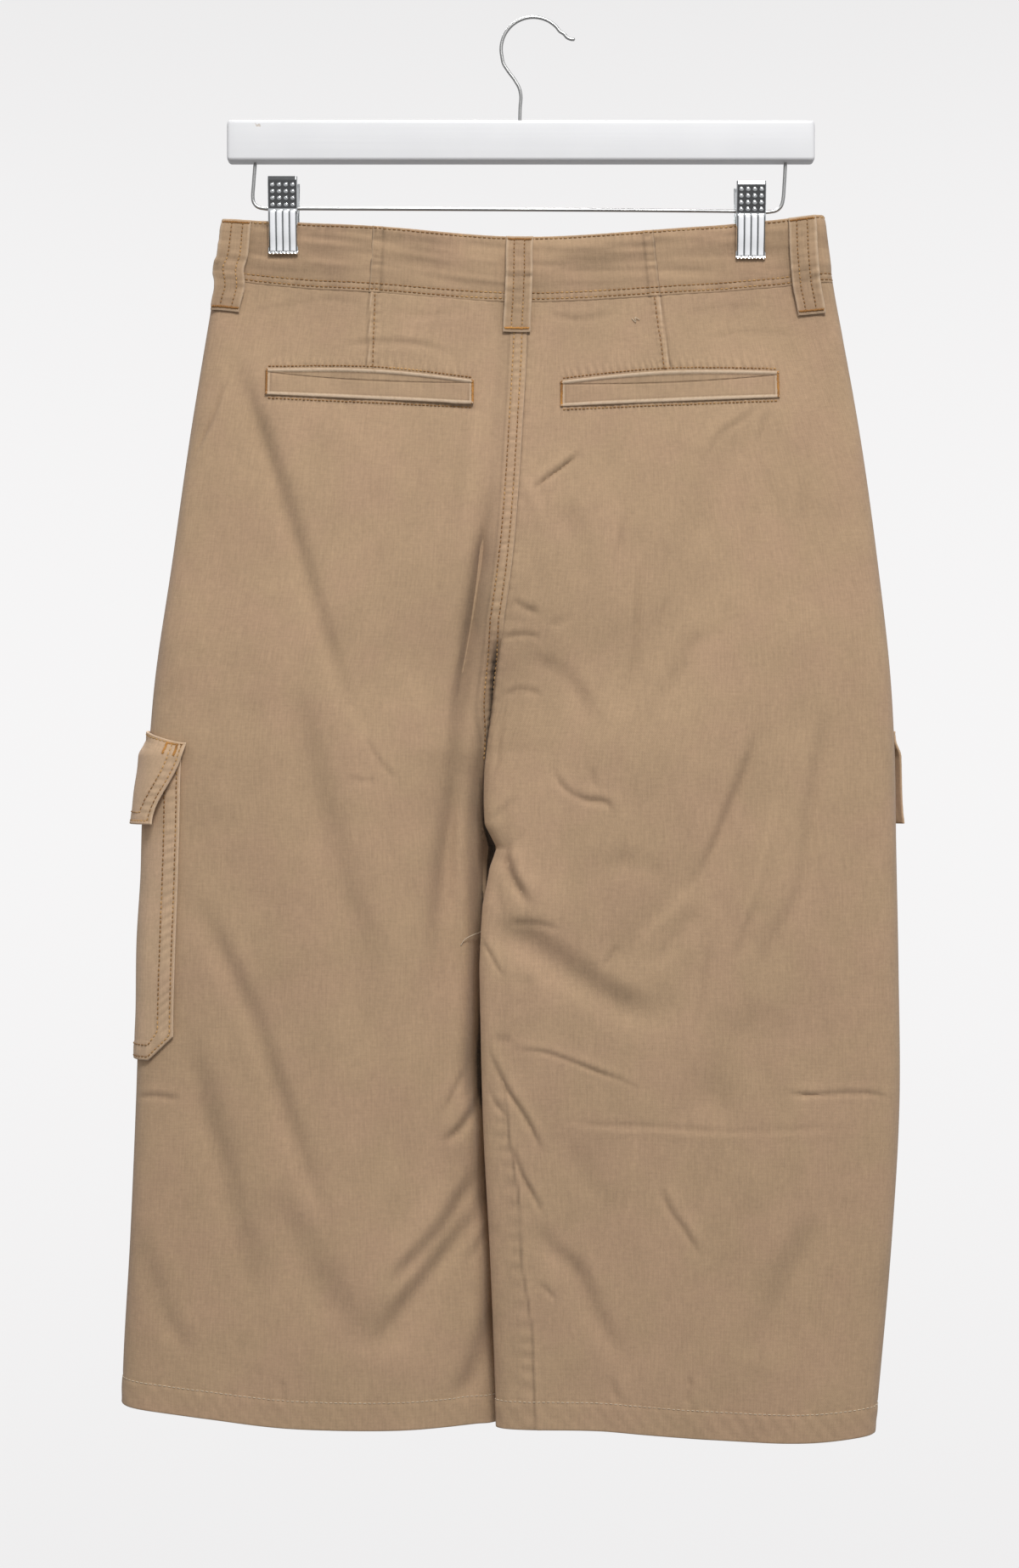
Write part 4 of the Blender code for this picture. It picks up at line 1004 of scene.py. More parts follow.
LOOP_THREAD = Stitching("loop_rows", GOLD, "thread_gold", 0.42)
LOOP_TACK = Stitching("loop_tacks", ORANGE, "thread_gold", 0.42)
POCKET_THREAD = Stitching("back_pocket_rows", GOLD, "thread_gold", 0.5)
POCKET_TACK = Stitching("back_pocket_tacks", ORANGE, "thread_gold", 0.46)
BAG_THREAD = Stitching("leg_pocket_rows", GOLD, "thread_gold", 0.42)
BAG_TACK = Stitching("leg_pocket_tacks", ORANGE, "thread_gold", 0.34)
FRONT_THREAD = Stitching("front_rows", GOLD, "thread_gold", 0.42)
BAND_THREAD = Stitching("band_rows", GOLD, "thread_gold", 0.46)
BODY_THREAD = Stitching("body_rows", GOLD, "thread_gold", 0.42)
HEM_THREAD = Stitching("hem_rows", CREAM, "thread_pale", 0.27)


# ============================================================ body panels
SIDE_SEAM = {LEFT: 0, RIGHT: 30}  # how far it runs past the outer fold, from
SIDE_SEAM_FULL = -400  # this height down
SLASH_TOP, SLASH_END = 62, -330  # the hand pocket's opening: its width and lower end
SEAT_ROWS = (2.2, 7.4)  # its stitch rows, from the seam
HEM_TURN = 19.5  # depth of the hem's fold
SEAT_LAP = 9.2  # width of the double layer beside the seat seam
SLOT_DARK = 8.6  # shade in the slot between the legs
WELTS = {
    # side: (x_inner, top, bottom), (x_outer, top, bottom)
    LEFT: ((-38.6, -240.2, -256.0), (-174.4, -231.6, -248.9)),
    RIGHT: ((17.2, -240.8, -257.6), (160.0, -233.2, -250.8)),
}
WELT_RISE = 3.5  # how much its upper edge arches
WELT_HIGH = 16.6  # its mean height
WELT_SINK = 0.7  # how far it is pressed into the panel
WELT_ROW = 1.9  # its stitch rows, out from its edges
HEM_ROW = HEM_TURN - 1.2  # the hem's stitch row, above its end
SLASH_ROWS = (1.8, 6.2)  # stitch rows beside the hand pocket's opening
SEAT_OVER, SEAM_OVER = 1.4, 0.8  # how far one panel laps over the next
LEG = SEAM_LEVEL - HEM_LEVEL  # length of a panel
NEAR_SEAM = (0.15, 0.5, 1.0, 1.7, 2.5, 3.4, 4.4, 5.4, 6.4, 7.4, 8.4, 9.2, 10.2, 11.6, 13.4)
NEAR_EDGE = (0.15, 0.5, 1.0, 1.7, 2.5, 3.5, 4.8, 6.4, 8.2)
NEAR_HEM = (0.15, 0.5, 1.1, 2.0, 3.4, 5.4, 7.8, 10.2, 12.6, 14.8, 16.6, 17.8, 18.6, 19.2, 19.9,
            20.8, 22.2)
NEAR_WAIST = (0.15, 0.6, 1.4, 2.6, 4.2)
DARTS = {  # back seams, from the waist to the pocket
    # side: (x, z) from top to bottom
    LEFT: ((-103.6, -138), (-105.8, -180), (-107.2, -232)),
    RIGHT: ((76.8, -138), (81.2, -180), (88.0, -233)),
}
INSEAM_LINE = (  # the seam that shows inside the right leg
    # x, z
    (-18.9, -693), (-15.6, -731), (-8.4, -776), (-7.4, -813), (-1.3, -852), (2.0, -926),
)


def side_seam(side, level):
    """How far the side seam runs past the outer fold, towards the front."""
    return SIDE_SEAM[side] * ease((SEAM_LEVEL - level) / (SEAM_LEVEL - SIDE_SEAM_FULL))


def slash(side, level):
    """Distance from the fold to the slanted edge of the hand pocket's opening."""
    open_part = np.clip((level - SLASH_END) / (SEAM_LEVEL - SLASH_END), 0, 1)
    return side_seam(side, level) + SLASH_TOP * open_part


def ladder(along, pitch, seed):
    """Uneven puckers along a seam, from -1 to 1: a wave whose phase and height wander."""
    wander = 0.55 * soft_noise(along / (3.1 * pitch), 0.5, seed)
    tall = 0.65 + 0.35 * soft_noise(along / (2.3 * pitch), 7.5, seed + 1)
    return tall * np.sin(tau * (along / pitch + wander))


def seat_share(level):
    """1 beside the seat seam, 0 down the legs."""
    return ease((level - CROTCH + 10) / 30)


def laps(side, face, level):
    """How far a panel laps over its neighbour at its first and at its last edge."""
    seat = seat_share(level)
    if face == BACK:
        return (SEAT_OVER * seat * (side == LEFT) + SEAM_OVER * (1 - seat)), SEAM_OVER
    return 0.0, SEAM_OVER * seat * (side == LEFT)


def panel_grid(side, face, near_start, near_end, step):
    """w, level and places of a panel's grid, close together at its seams and its hem."""
    down = spread(LEG, step, NEAR_WAIST, NEAR_HEM)
    rows, widths = [], []
    for level in SEAM_LEVEL - down:
        places, length = measured(side, level)
        if face == BACK:
            start, end = np.interp(-1, places, length), side_seam(side, level)
        else:
            start, end = slash(side, level), np.interp(1, places, length)
        over = laps(side, face, level)
        start, end = start - over[0], end + over[1]
        widths.append(end - start)
        rows.append((places, length, start, end))
    count = len(spread(max(widths), step, near_start, near_end))
    grid, across = [], []
    for places, length, start, end in rows:
        middle = np.linspace(near_start[-1], end - start - near_end[-1],
                             count - len(near_start) - len(near_end) + 2)
        at = np.concatenate([near_start[:-1], middle, end - start - np.array(near_end[:-1])[::-1]])
        grid.append(np.interp(start + at, length, places))
        across.append(at)
    return np.array(grid), down, np.array(across), np.array(widths)


def seat_relief(side, gap, along, seat):
    """Seam down the middle of the seat: a double layer on the left, topstitched twice."""
    if side == RIGHT:
        return -0.25 * bell(gap, 1.6) + 0.22 * ladder(along, 8.5, 4) * bell(gap, 5) * seat
    raised = 0.55 * (1 - ease((gap - SEAT_LAP + 1.2) / 1.6)) * seat
    rows = -0.32 * (bell(gap - SEAT_ROWS[0], 0.8) + bell(gap - SEAT_ROWS[1], 0.8)) * seat
    puckers = 0.5 * ladder(along, 6.4, 5) * bell(gap - 4.6, 3.6) * seat
    return raised + rows + puckers


def seat_shade(side, gap, along, seat):
    """Seat seam's paler double layer, painted shade and light on rows and puckers, painted shadow
    beside it.
    """
    if side == RIGHT:
        return (2.6 * bell(gap - 1.3, 1.0) - 0.7 * ladder(along, 8.5, 4) * bell(gap, 6)) * seat
    puckers = (ladder(along, 5.4, 5) * bell(gap - 4.8, 2.6)
               + 0.6 * ladder(along, 4.1, 9) * bell(gap, 2))
    rows = bell(gap - SEAT_ROWS[0], 0.8) + bell(gap - SEAT_ROWS[1], 0.8)
    strip = 1 - ease((gap - SEAT_LAP) / 1.5)
    beside = bell(gap - SEAT_LAP - 1.2, 1.0)
    return (1.3 * rows - 2.2 * puckers - 0.8 * strip + 2.0 * beside) * seat


def welt_edges(side, t):
    """x and the heights of a back pocket's two edges at a share of its length."""
    (x_in, top_in, low_in), (x_out, top_out, low_out) = WELTS[side]
    top = top_in + (top_out - top_in) * t + WELT_RISE * np.sin(pi * np.clip(t, 0, 1))
    return x_in + (x_out - x_in) * t, top, low_in + (low_out - low_in) * t


def welt_pucker(side, x, z):
    """Small upright gathers above and below a back pocket's rims, and its two stitch rows."""
    x_in, x_out = column(WELTS[side], 0)
    t = (x - x_in) / (x_out - x_in)
    inside = ease((t + 0.01) / 0.03) * ease((1.01 - t) / 0.03)
    top, low = welt_edges(side, t)[1:]
    above, below = z - top, low - z
    gathers = (ladder(x + 0.25 * above, 4.6, 27) * bell(above - 3.5, 4.2) * (above > 0)
               + 0.8 * ladder(x, 5.1, 28) * bell(below - 2, 2.6) * (below > 0))
    rows = bell(above - WELT_ROW, 0.9) + bell(below - WELT_ROW, 0.9)
    return inside * gathers, inside * rows


def dart_relief(side, x, z):
    """Lapped seam from the waistband down to the back pocket, with a pale ridge.

    Returned are its relief, the distance to its faded edge and its shade: painted shade beside
    the ridge and on the stitch row, painted light on the ridge, both on the puckers.
    """
    off = (x - x_on(DARTS[side], z)) * -side
    within = ease((z + 234) / 5) * ease((-171 - z) / 3)
    ridge = 0.6 * ease((off + 0.5) / 0.6) * (1 - ease((off - 4.2) / 1.6))
    groove = -0.28 * bell(off - 2.6, 0.8) - 0.35 * bell(off + 0.9, 0.7)
    puckers = 0.3 * ladder(z, 5.4, 8) * bell(off - 2, 4)
    shade = (2.6 * bell(off + 1.1, 0.9) + 1.5 * bell(off - 2.8, 0.8) - 2.0 * bell(off - 0.6, 0.9)
             - 2.0 * ladder(z, 4.6, 8) * bell(off - 3.2, 3)) * within
    return (ridge + groove + puckers) * within, np.abs(off - 0.4) + 0.45 + 50 * (1 - within), shade


def inseam_relief(x, z):
    """The front panel wraps round the right leg's inner side, behind a seam that puckers."""
    off = x - x_on(INSEAM_LINE, z)
    within = ease((-690 - z) / 14)
    puckers = ladder(z, 11, 14) * bell(off + 4, 4.5)
    relief = 0.35 * bell(off - 1.6, 1.5) - 0.5 * bell(off, 0.9) + 0.3 * puckers
    # painted shade on the seam line and in the puckers' hollows, painted light beside the seam and
    # on their crests
    shade = 3.0 * bell(off, 0.9) - 0.9 * bell(off - 1.9, 1.3) - 1.1 * puckers
    return relief * within, shade * within


def hem_puckers(up, along):
    """Slanting rope-like puckers round a hem."""
    return ladder(along + 0.8 * up, 11, 23) * ease(up / 4) * ease((HEM_TURN + 3 - up) / 5)


def hem_relief(up, along):
    """Double layer of the turned hem with its stitch line and its puckers."""
    raised = 0.45 * ease((HEM_TURN - up) / 1.2)
    return raised - 0.35 * bell(up - HEM_ROW, 1.0) + 0.16 * hem_puckers(up, along)


def back_panel(side, w, level, across, far_gap):
    """A back panel's points, relief, edge and seam distances, and shade."""
    z = height(side, w, level)
    base = skin(side, w, z)
    x = base[..., 0]
    seat = seat_share(level)
    gap = across - laps(side, BACK, level)[0]
    up = level - HEM_LEVEL
    dart, dart_gap, dart_shade = dart_relief(side, x, z)
    pucker, welt_rows = welt_pucker(side, x, z)
    relief = (seat_relief(side, gap, level, seat) + dart + hem_relief(up, x)
              + 0.14 * ladder(x, 9, 12) * bell(SEAM_LEVEL - level, 9)
              + 0.35 * (1 - ease((far_gap - 2) / 2))
              + 0.35 * (1 - seat) * (1 - ease((gap - 2) / 2))
              + 0.36 * pucker - 0.25 * welt_rows)
    seat_edge = np.abs(across) + (0.35 if side == LEFT else 9)
    edge = np.minimum.reduce([np.where(seat > 0.5, seat_edge, FAR), dart_gap, up + 0.5,
                              far_gap + 0.4])
    seat_rows = np.minimum(np.abs(gap - SEAT_ROWS[0]), np.abs(gap - SEAT_ROWS[1]))
    seat_seam = seat_rows + 0.45 if side == LEFT else np.abs(gap - 0.9)
    seam = np.where(seat > 0.5, seat_seam, across + 0.3)
    # Painted shade and light in the colour: creases, seat seam, back seam, the welt's gathers and
    # stitch rows, darker within about 120 mm of the waist seam, the hem's row and puckers.
    shade = (crease_depth(BACK, x, z)[1] + seat_shade(side, gap, level, seat) + dart_shade
             - 1.7 * pucker + 1.7 * welt_rows + 0.8 * (1 - ease((SEAM_LEVEL - level) / 120))
             + 0.8 * bell(up - HEM_ROW, 0.9) - 0.4 * hem_puckers(up, x))
    if side == LEFT:
        away = np.abs(ring(side, w, z, fine=False)[0] - inner_edge(side, z))
        # painted shade in the slot between the legs
        slot = 0.3 * slot_share(away, z) ** 2 + 0.7 * slot_share(away, z, 2.2)
        shade = shade + SLOT_DARK * slot * ease((BLEND_START - z) / 30)
    else:
        inseam, inseam_shade = inseam_relief(x, z)
        relief, shade = relief + inseam, shade + inseam_shade
    return base, relief, edge, seam, shade


def front_panel(side, w, level, across, far_gap):
    """A front panel's points, relief, edge and seam distances, and shade."""
    z = height(side, w, level)
    base = skin(side, w, z)
    x, y = base[..., 0], base[..., 1]
    pocket = ease((level - SLASH_END) / 20)
    up = level - HEM_LEVEL
    rows = bell(across - SLASH_ROWS[0], 0.8) + bell(across - SLASH_ROWS[1], 0.8)
    relief = (hem_relief(up, x + 300) + 0.14 * ladder(x, 9, 13) * bell(SEAM_LEVEL - level, 9)
              + pocket * (0.4 * (1 - ease((across - 7) / 1.4)) - 0.3 * rows
                          + 0.22 * ladder(level, 7.5, 31) * bell(across - 4, 3.4))
              - 0.25 * bell(far_gap, 1.6) + 0.2 * ladder(level, 8, 33) * bell(far_gap, 5))
    edge = np.minimum(np.where(pocket > 0.5, across, FAR), up + 0.5)
    seam = np.minimum(far_gap, np.where(pocket > 0.5, FAR, across + 0.3))
    # painted shade and light of the creases
    shade = np.where(y > 0, crease_depth(FRONT, x, z)[1], crease_depth(BACK, x, z)[1])
    return base, relief, edge, seam, shade


def panel(side, face):
    """Makes a panel and returns its piece."""
    shape, near_start, step, word = {BACK: (back_panel, NEAR_SEAM, 1.95, "back"),
                                     FRONT: (front_panel, NEAR_EDGE, 2.7, "front")}[face]
    w, down, across, widths = panel_grid(side, face, near_start, NEAR_EDGE, step)
    level = np.broadcast_to((SEAM_LEVEL - down)[:, None], w.shape)
    base, relief, edge, seam, shade = shape(side, w, level, across, widths[:, None] - across)
    piece = Piece(base, side, across.mean(0), down, CLOTH, 0, relief, edge, seam, shade)
    nodes = [f"{word}_panel_{WORD[side]}_{part}" for part in ("hip", "leg")]
    made = piece.build(f"cloth_{word}_{WORD[side]}", TWILL, nodes)
    return piece


panels = {(side, face): panel(side, face) for side in (LEFT, RIGHT) for face in (BACK, FRONT)}

# ============================================================ waistband and belt loops
DART_TOP = -138  # z where the back seams reach the band's top
WAIST_LAP, LAP_END = 30, 8  # how far the band's ends reach past the front seam
LAP_RAMP, LAP_LIFT = 26, 1.55  # way and height of the step onto each other
BAND_HIGH = 42  # mean height of the band
BAND_OVER = 1.0  # how far it laps over the panels
BAND_ROWS = (1.3, 5.1)  # its two lower stitch rows, above its seam
BAND_TOP_ROW = 1.8  # its upper one, below its upper edge
BAND_STEP = 1.1  # between rows of its grid
NEAR_BAND = (0.1, 0.4, 0.9, 1.5, 2.1, 2.8)
NEAR_DART = (0.1, 0.4, 0.9, 1.6, 2.4, 3.2, 4.0, 4.8, 5.6, 6.4, 7.2, 8.2)
NEAR_END = (0.1, 0.4, 0.9, 1.6, 2.6)
BAND_DOWN = spread(BAND_HIGH + BAND_OVER, BAND_STEP, NEAR_BAND)  # rows from its top
BELT_LOOPS = (
    # name, side, measured from, distance at the top, at the bottom, seed
    ("back_left", LEFT, 0, -11.5, -12.5, 1),
    ("back_right", RIGHT, 0, -17.5, -21.0, 2),
    ("back_centre", RIGHT, -1, -4.8, -5.6, 3),
    ("front_left", LEFT, 1, -92.0, -92.0, 4),
    ("front_right", RIGHT, 1, -92.0, -92.0, 5),
)
LOOP_WIDTH, LOOP_BELOW = 17.5, 21  # width, and how far it reaches below the band
LOOP_BOW = 1.6  # how far its middle stands off the band
LOOP_ROWS = 0.19  # its two stitch rows, as a share of its width


def band_relief(x, up, seed):
    """Rolled upper edge, two stitched-down layers at the seam and slack in lengthwise waves."""
    drop = BAND_HIGH - up
    grooves = -0.3 * (bell(up - BAND_ROWS[0], 0.7) + bell(up - BAND_ROWS[1], 0.7)
                      + bell(drop - BAND_TOP_ROW, 0.8))
    pulls = (0.22 * ladder(x, 6.3, seed) * bell(up - 3.2, 3.0)
             + 0.16 * ladder(x, 7.1, seed + 3) * bell(drop - 2, 3))
    waves = 0.55 * soft_noise(x / 46, up / 7.5 + 0.02 * x, seed + 5)
    return grooves + pulls + waves * ease((up - 5) / 6) * ease(drop / 8)


def band_grid(side, first, last, columns):
    """Base points and w of a length of band whose edges may lean: rows run down from its top."""
    w = first + (last - first) * columns + 0 * BAND_DOWN[:, None]
    z = band_height(side, w, (1 - BAND_DOWN / BAND_HIGH)[:, None])
    return skin(side, w, z), w


def dart_line(side):
    """w of the seam that crosses the band at the back, row by row."""
    top, seam = (back_w(side, DARTS[side][i][0], z) for i, z in ((0, DART_TOP), (1, SEAM_LEVEL)))
    return (top + (seam - top) * BAND_DOWN / BAND_HIGH)[:, None]


def band_piece(key, base, facing, seed, lift=0.0):
    """One length of band.

    The centre one is stitched beside its two seams, and a front one ends in a free, faded
    edge. Both lower stitch rows pull the cloth together, and streaks of painted shade run along
    it above them.
    """
    across = run(base[len(base) // 2])
    up = (BAND_HIGH - BAND_DOWN)[:, None]
    x = base[..., 0]
    relief = band_relief(x, up, seed)
    edge = np.minimum(BAND_HIGH - up + 0.3, up + BAND_OVER + 0.7)
    near_rows = np.minimum(np.abs(up - BAND_ROWS[0]), np.abs(up - BAND_ROWS[1]))
    seam = np.minimum(near_rows, np.abs(BAND_HIGH - up - BAND_TOP_ROW)) + 0.5
    shade_streak = soft_noise(x / 34, up / 3.1 + 0.02 * x, seed + 9) * ease((up - 6) / 5)
    pulls = (ladder(x, 4.6, seed) * bell(up - 3.2, 3.2)
             + ladder(x, 5.3, seed + 3) * bell(BAND_HIGH - up - 2, 2.6))
    # painted shade streaks, painted shade and light on the pulls, painted shade on the stitch rows
    shade = 2.3 * shade_streak - 1.5 * pulls + 0.8 * (near_rows < 0.8)
    if key.startswith("front"):
        edge = np.minimum(edge, across[-1] - across + 0.2)
    if key == "back_centre":
        ends = np.minimum(across, across[-1] - across)
        relief = (relief + 0.5 * (1 - ease((ends - 6.5) / 1.5)) - 0.3 * bell(ends - 2.4, 0.7)
                  + 0.4 * ladder(up, 5.6, 15) * bell(ends - 4, 3.4))
        edge = np.minimum(edge, np.abs(ends - 1.0) + 0.5)
        # painted shade at the seam and on the stitch row, painted shade and light on the puckers
        shade = (shade + 3.4 * bell(ends - 0.2, 0.9) + 2.6 * bell(ends - 7.4, 1.0)
                 - 2.4 * ladder(up, 4.6, 15) * bell(ends - 4, 2.6))
    piece = Piece(base, facing, across, BAND_DOWN, BAND, lift, relief, edge, seam, shade)
    made = piece.build(f"band_{key}", TWILL_BAND, [f"waistband_{key}"])
    return piece


def waistband():
    """Centre length between the back seams, the two beside it and the lapped front ends."""
    near_dart, beside_dart, front = (  # columns, as shares of a rough length
        spread(length, 2.2, near) / length
        for length, near in ((92, NEAR_DART), (100, NEAR_END), (215, NEAR_END)))
    left, right = (band_grid(side, -1.0, dart_line(side) + 0.006, near_dart)[0]
                   for side in (LEFT, RIGHT))
    base = np.concatenate([left[:, :0:-1], right], 1)
    made = [band_piece("back_centre", base, 1, 61)]
    for side, past, lap in ((LEFT, LAP_END, 1), (RIGHT, WAIST_LAP, -1)):
        grid = band_grid(side, dart_line(side), 0.0, beside_dart)[0]
        made.append(band_piece(f"back_{WORD[side]}", grid, side, 64 + side))
        grid, w = band_grid(side, 0.0, w_at(side, past, SEAM_LEVEL, 1), front)
        reach = w_at(side, -WAIST_LAP - np.array([LAP_RAMP, 4]), SEAM_LEVEL, 1)
        lift = lap * LAP_LIFT * ease((w - reach[0]) / (reach[1] - reach[0]))
        made.append(band_piece(f"front_{WORD[side]}", grid, side, 67 + side, lift))
    return made


def belt_loop(name, side, start, top, bottom, seed):
    """Folded strip sewn down at both ends, slack and crumpled between them."""
    rows, columns = 66, spread(LOOP_WIDTH, 0.75, (0.1, 0.35, 0.7, 1.2)) - LOOP_WIDTH / 2
    up = np.linspace(1, 0, rows)
    sway = 0.9 * soft_noise(3.2 * up, 0.5, 90 + seed) * ease(4 * up) * ease(4 * (1 - up))
    if name == "back_left":  # it has slipped into a kink half-way up
        sway = sway + 1.5 * bell(up - 0.46, 0.1) - 0.9 * bell(up - 0.25, 0.12)
    w = np.array([w_at(side, bottom + (top - bottom) * u - shift * side + columns,
                       SEAM_LEVEL + 40 * u, start) for u, shift in zip(up, sway)])
    seam = band_height(side, w, 0.0 * w) - LOOP_BELOW
    edge = band_height(side, w, 1.0 + 0.0 * w) - 0.6
    z = seam + (edge - seam) * up[:, None]
    bow = LOOP_BOW * np.sin(pi * up)[:, None] ** 0.8
    length = float((edge - seam).mean())
    a, d = np.meshgrid(columns, (1 - up) * length)
    side_gap = LOOP_WIDTH / 2 - np.abs(a)
    end_gap = np.minimum(d, length - d)
    crumple = (0.5 * soft_noise(a / 7 + seed, d / 3.4, 33 + seed)
               + 0.3 * soft_noise(a / 16, d / 1.9, 37 + seed))
    crumple = crumple * (0.35 + 0.65 * bell(d - 0.5 * length, 0.26 * length))
    steps = -0.3 * (bell(d - 0.42 * length, 1.2) + bell(d - 0.66 * length, 1.2))
    fold = 0.35 * bell(side_gap - 1.2, 1.0)
    rows_off = np.abs(np.abs(a) - LOOP_ROWS * LOOP_WIDTH)
    relief = crumple + steps + fold - 0.28 * bell(rows_off, 0.6) - 0.35 * bell(end_gap - 2.2, 1.0)
    base = BAND / 2 + LIE_GAP + LOOP / 2 - 0.5 * ease((d - length + LOOP_BELOW) / 8)
    # shade: painted shade on the stitch rows, painted shade and light on crumples, steps and folds
    piece = Piece(skin(side, w, z), side, columns + LOOP_WIDTH / 2, (1 - up) * length, LOOP,
                  base + bow, relief, 0.55 * np.minimum(side_gap, end_gap + 0.3),
                  shade=0.9 * bell(rows_off, 0.7) - 2.2 * (crumple + steps) - 1.0 * fold)
    made = piece.build(f"loop_{name}", TWILL_BAND, [f"belt_loop_{name}"])
    for offset in (-LOOP_ROWS, LOOP_ROWS):
        at = LOOP_WIDTH * (0.5 + offset)
        LOOP_THREAD.row(piece, [(at, 1.5), (at, length - 1.5)], pitch=2.6)
    for at in (2.2, length - 2.4):
        LOOP_TACK.tack(piece, [(1.0, at), (LOOP_WIDTH - 1.0, at)], 1.7)


# ============================================================ back pockets
def on_back(side, x, z):
    """Places on a back panel of points given by x and height."""
    level = z
    for _ in range(4):
        level = z + level - height(side, back_w(side, x, z), level)
    down = SEAM_LEVEL - level
    return np.stack([panels[side, BACK].across_at(x, down), down], 1)


def back_pocket_welt(side):
    """Window with two lips: rope-like rims above and below and the mouth in a long lens."""
    inner_end, outer_end = np.array(WELTS[side])[:, :2]
    length = np.hypot(*(outer_end - inner_end))
    along = spread(length, 0.9, (0.1, 0.35, 0.7, 1.2, 1.8))
    down = spread(WELT_HIGH, 0.45, (0.1, 0.3, 0.6))
    t = along / length
    x, top, low = welt_edges(side, t)
    z = top + (low - top) * (down / down[-1])[:, None]
    base = skin(side, back_w(side, np.broadcast_to(x, z.shape), z), z)
    a, d = np.meshgrid(along, down)
    under = down[-1] - d
    ends = np.minimum(a, length - a)
    mouth = 1.9 + 4.4 * np.sin(pi * np.clip(t, 0, 1)) ** 0.8
    lip = d - mouth
    rims = 0.55 * (bell(d - 0.9, 0.8) + bell(under - 0.9, 0.8)) + 0.3 * bell(ends - 0.9, 0.8)
    rope = 0.14 * (np.sin(tau * a / 2.9 + 2 * d) * (bell(d - 0.9, 0.9) + bell(under - 0.9, 0.9)))
    step = -0.35 * (1 - ease((lip + 0.3) / 0.6)) * ease((d - 1.6) / 0.8) * ease((ends - 1.5) / 1.5)
    groove = -0.55 * bell(lip, 0.32) * ease((ends - 1.5) / 2) - 0.3 * bell(d - 2.0, 0.35)
    soft = 0.2 * soft_noise(a / 22, d / 6, 71 + side)
    edge = 0.15 + np.minimum.reduce([0.7 * np.abs(d - 0.9), 0.7 * np.abs(under - 0.9),
                                     np.abs(ends - 2.2)])
    seam = np.minimum(np.abs(lip) + 4 * (ends < 1.6), np.abs(d - 2.3) + 0.3)
    # Painted shade inside both rims, near the ends and along the mouth (also through "seam"), and
    # painted shade and light on the rope twist, the lip's step and the soft waves.
    piece = Piece(base, side, along, down, STRIP, over_cloth(STRIP) - WELT_SINK,
                  rims + rope + step + groove + soft, edge, seam,
                  shade=2.0 * bell(d - 2.5, 0.5) + 1.6 * bell(under - 2.4, 0.5) - 5 * rope
                  + 2.2 * bell(ends - 3.3, 0.5) + 1.8 * bell(lip, 0.4) - 1.6 * step - 1.5 * soft)
    word = WORD[side]
    made = piece.build(f"back_pocket_{word}", TWILL_POCKET, [f"back_pocket_welt_{word}"])
    x, top, low = welt_edges(side, np.linspace(0.01, 0.99, 60))
    for z in (top + WELT_ROW, low - WELT_ROW):
        POCKET_THREAD.row(panels[side, BACK], on_back(side, x, z), pitch=2.5)
    for at in (0.3, length - 0.3):
        POCKET_TACK.tack(piece, [(at, 0.4), (at, WELT_HIGH - 0.4)], 2.5)


# ============================================================ leg pockets
CARGO = {LEFT: (-35, 134), RIGHT: (6, 172)}  # back and front edge, from the fold
CARGO_TOP, CARGO_BOTTOM, CARGO_CHAMFER = -486, -681, 16
CARGO_PUFF = 3  # how far the bag's middle stands out
FLAP_TOP, FLAP_BOTTOM, FLAP_SLANT = -467, -528, 16
FLAP_SAG, FLAP_LIFT = 8, 4.5  # drop of its free corner, and its kick outwards
BAG_ROWS = (2.3, 10.0)  # the bag's stitch rows, in from its edge
FLAP_ROWS, FLAP_TOP_ROW = (2.4, 8.4), 2.0  # the flap's, and the one that sews it on
FLAP_SIDE = 2.0  # how far it reaches past the bag
TACK_IN, TACK_HALF = 8.5, 3.4  # the flap's square tacks: place and half width
CHAMFER_SLOPE = 0.75  # distance to a cut-off corner, for each step down
NEAR_MOUTH = (0.1, 0.4, 0.9, 1.6)
NEAR_BAG_SIDE = (0.1, 0.4, 0.9, 1.5, 2.2, 2.9, 3.6, 4.6, 5.8, 7.2, 8.6, 9.6, 10.4, 11.4)
NEAR_BAG_END = (0.1, 0.4, 0.9, 1.5, 2.2, 2.9, 3.6, 4.8, 6.4, 8.2, 9.6, 10.6, 11.8)
NEAR_FLAP_SIDE = (0.1, 0.4, 0.9, 1.5, 2.2, 3.0, 4.0, 5.2, 6.6)


def leg_patch(side, rows_z, starts, end, across):
    """w of a grid round the leg between two distances from the outer fold."""
    return np.array([w_at(side, start + (end - start) * across, z)
                     for z, start in zip(rows_z, starts)])


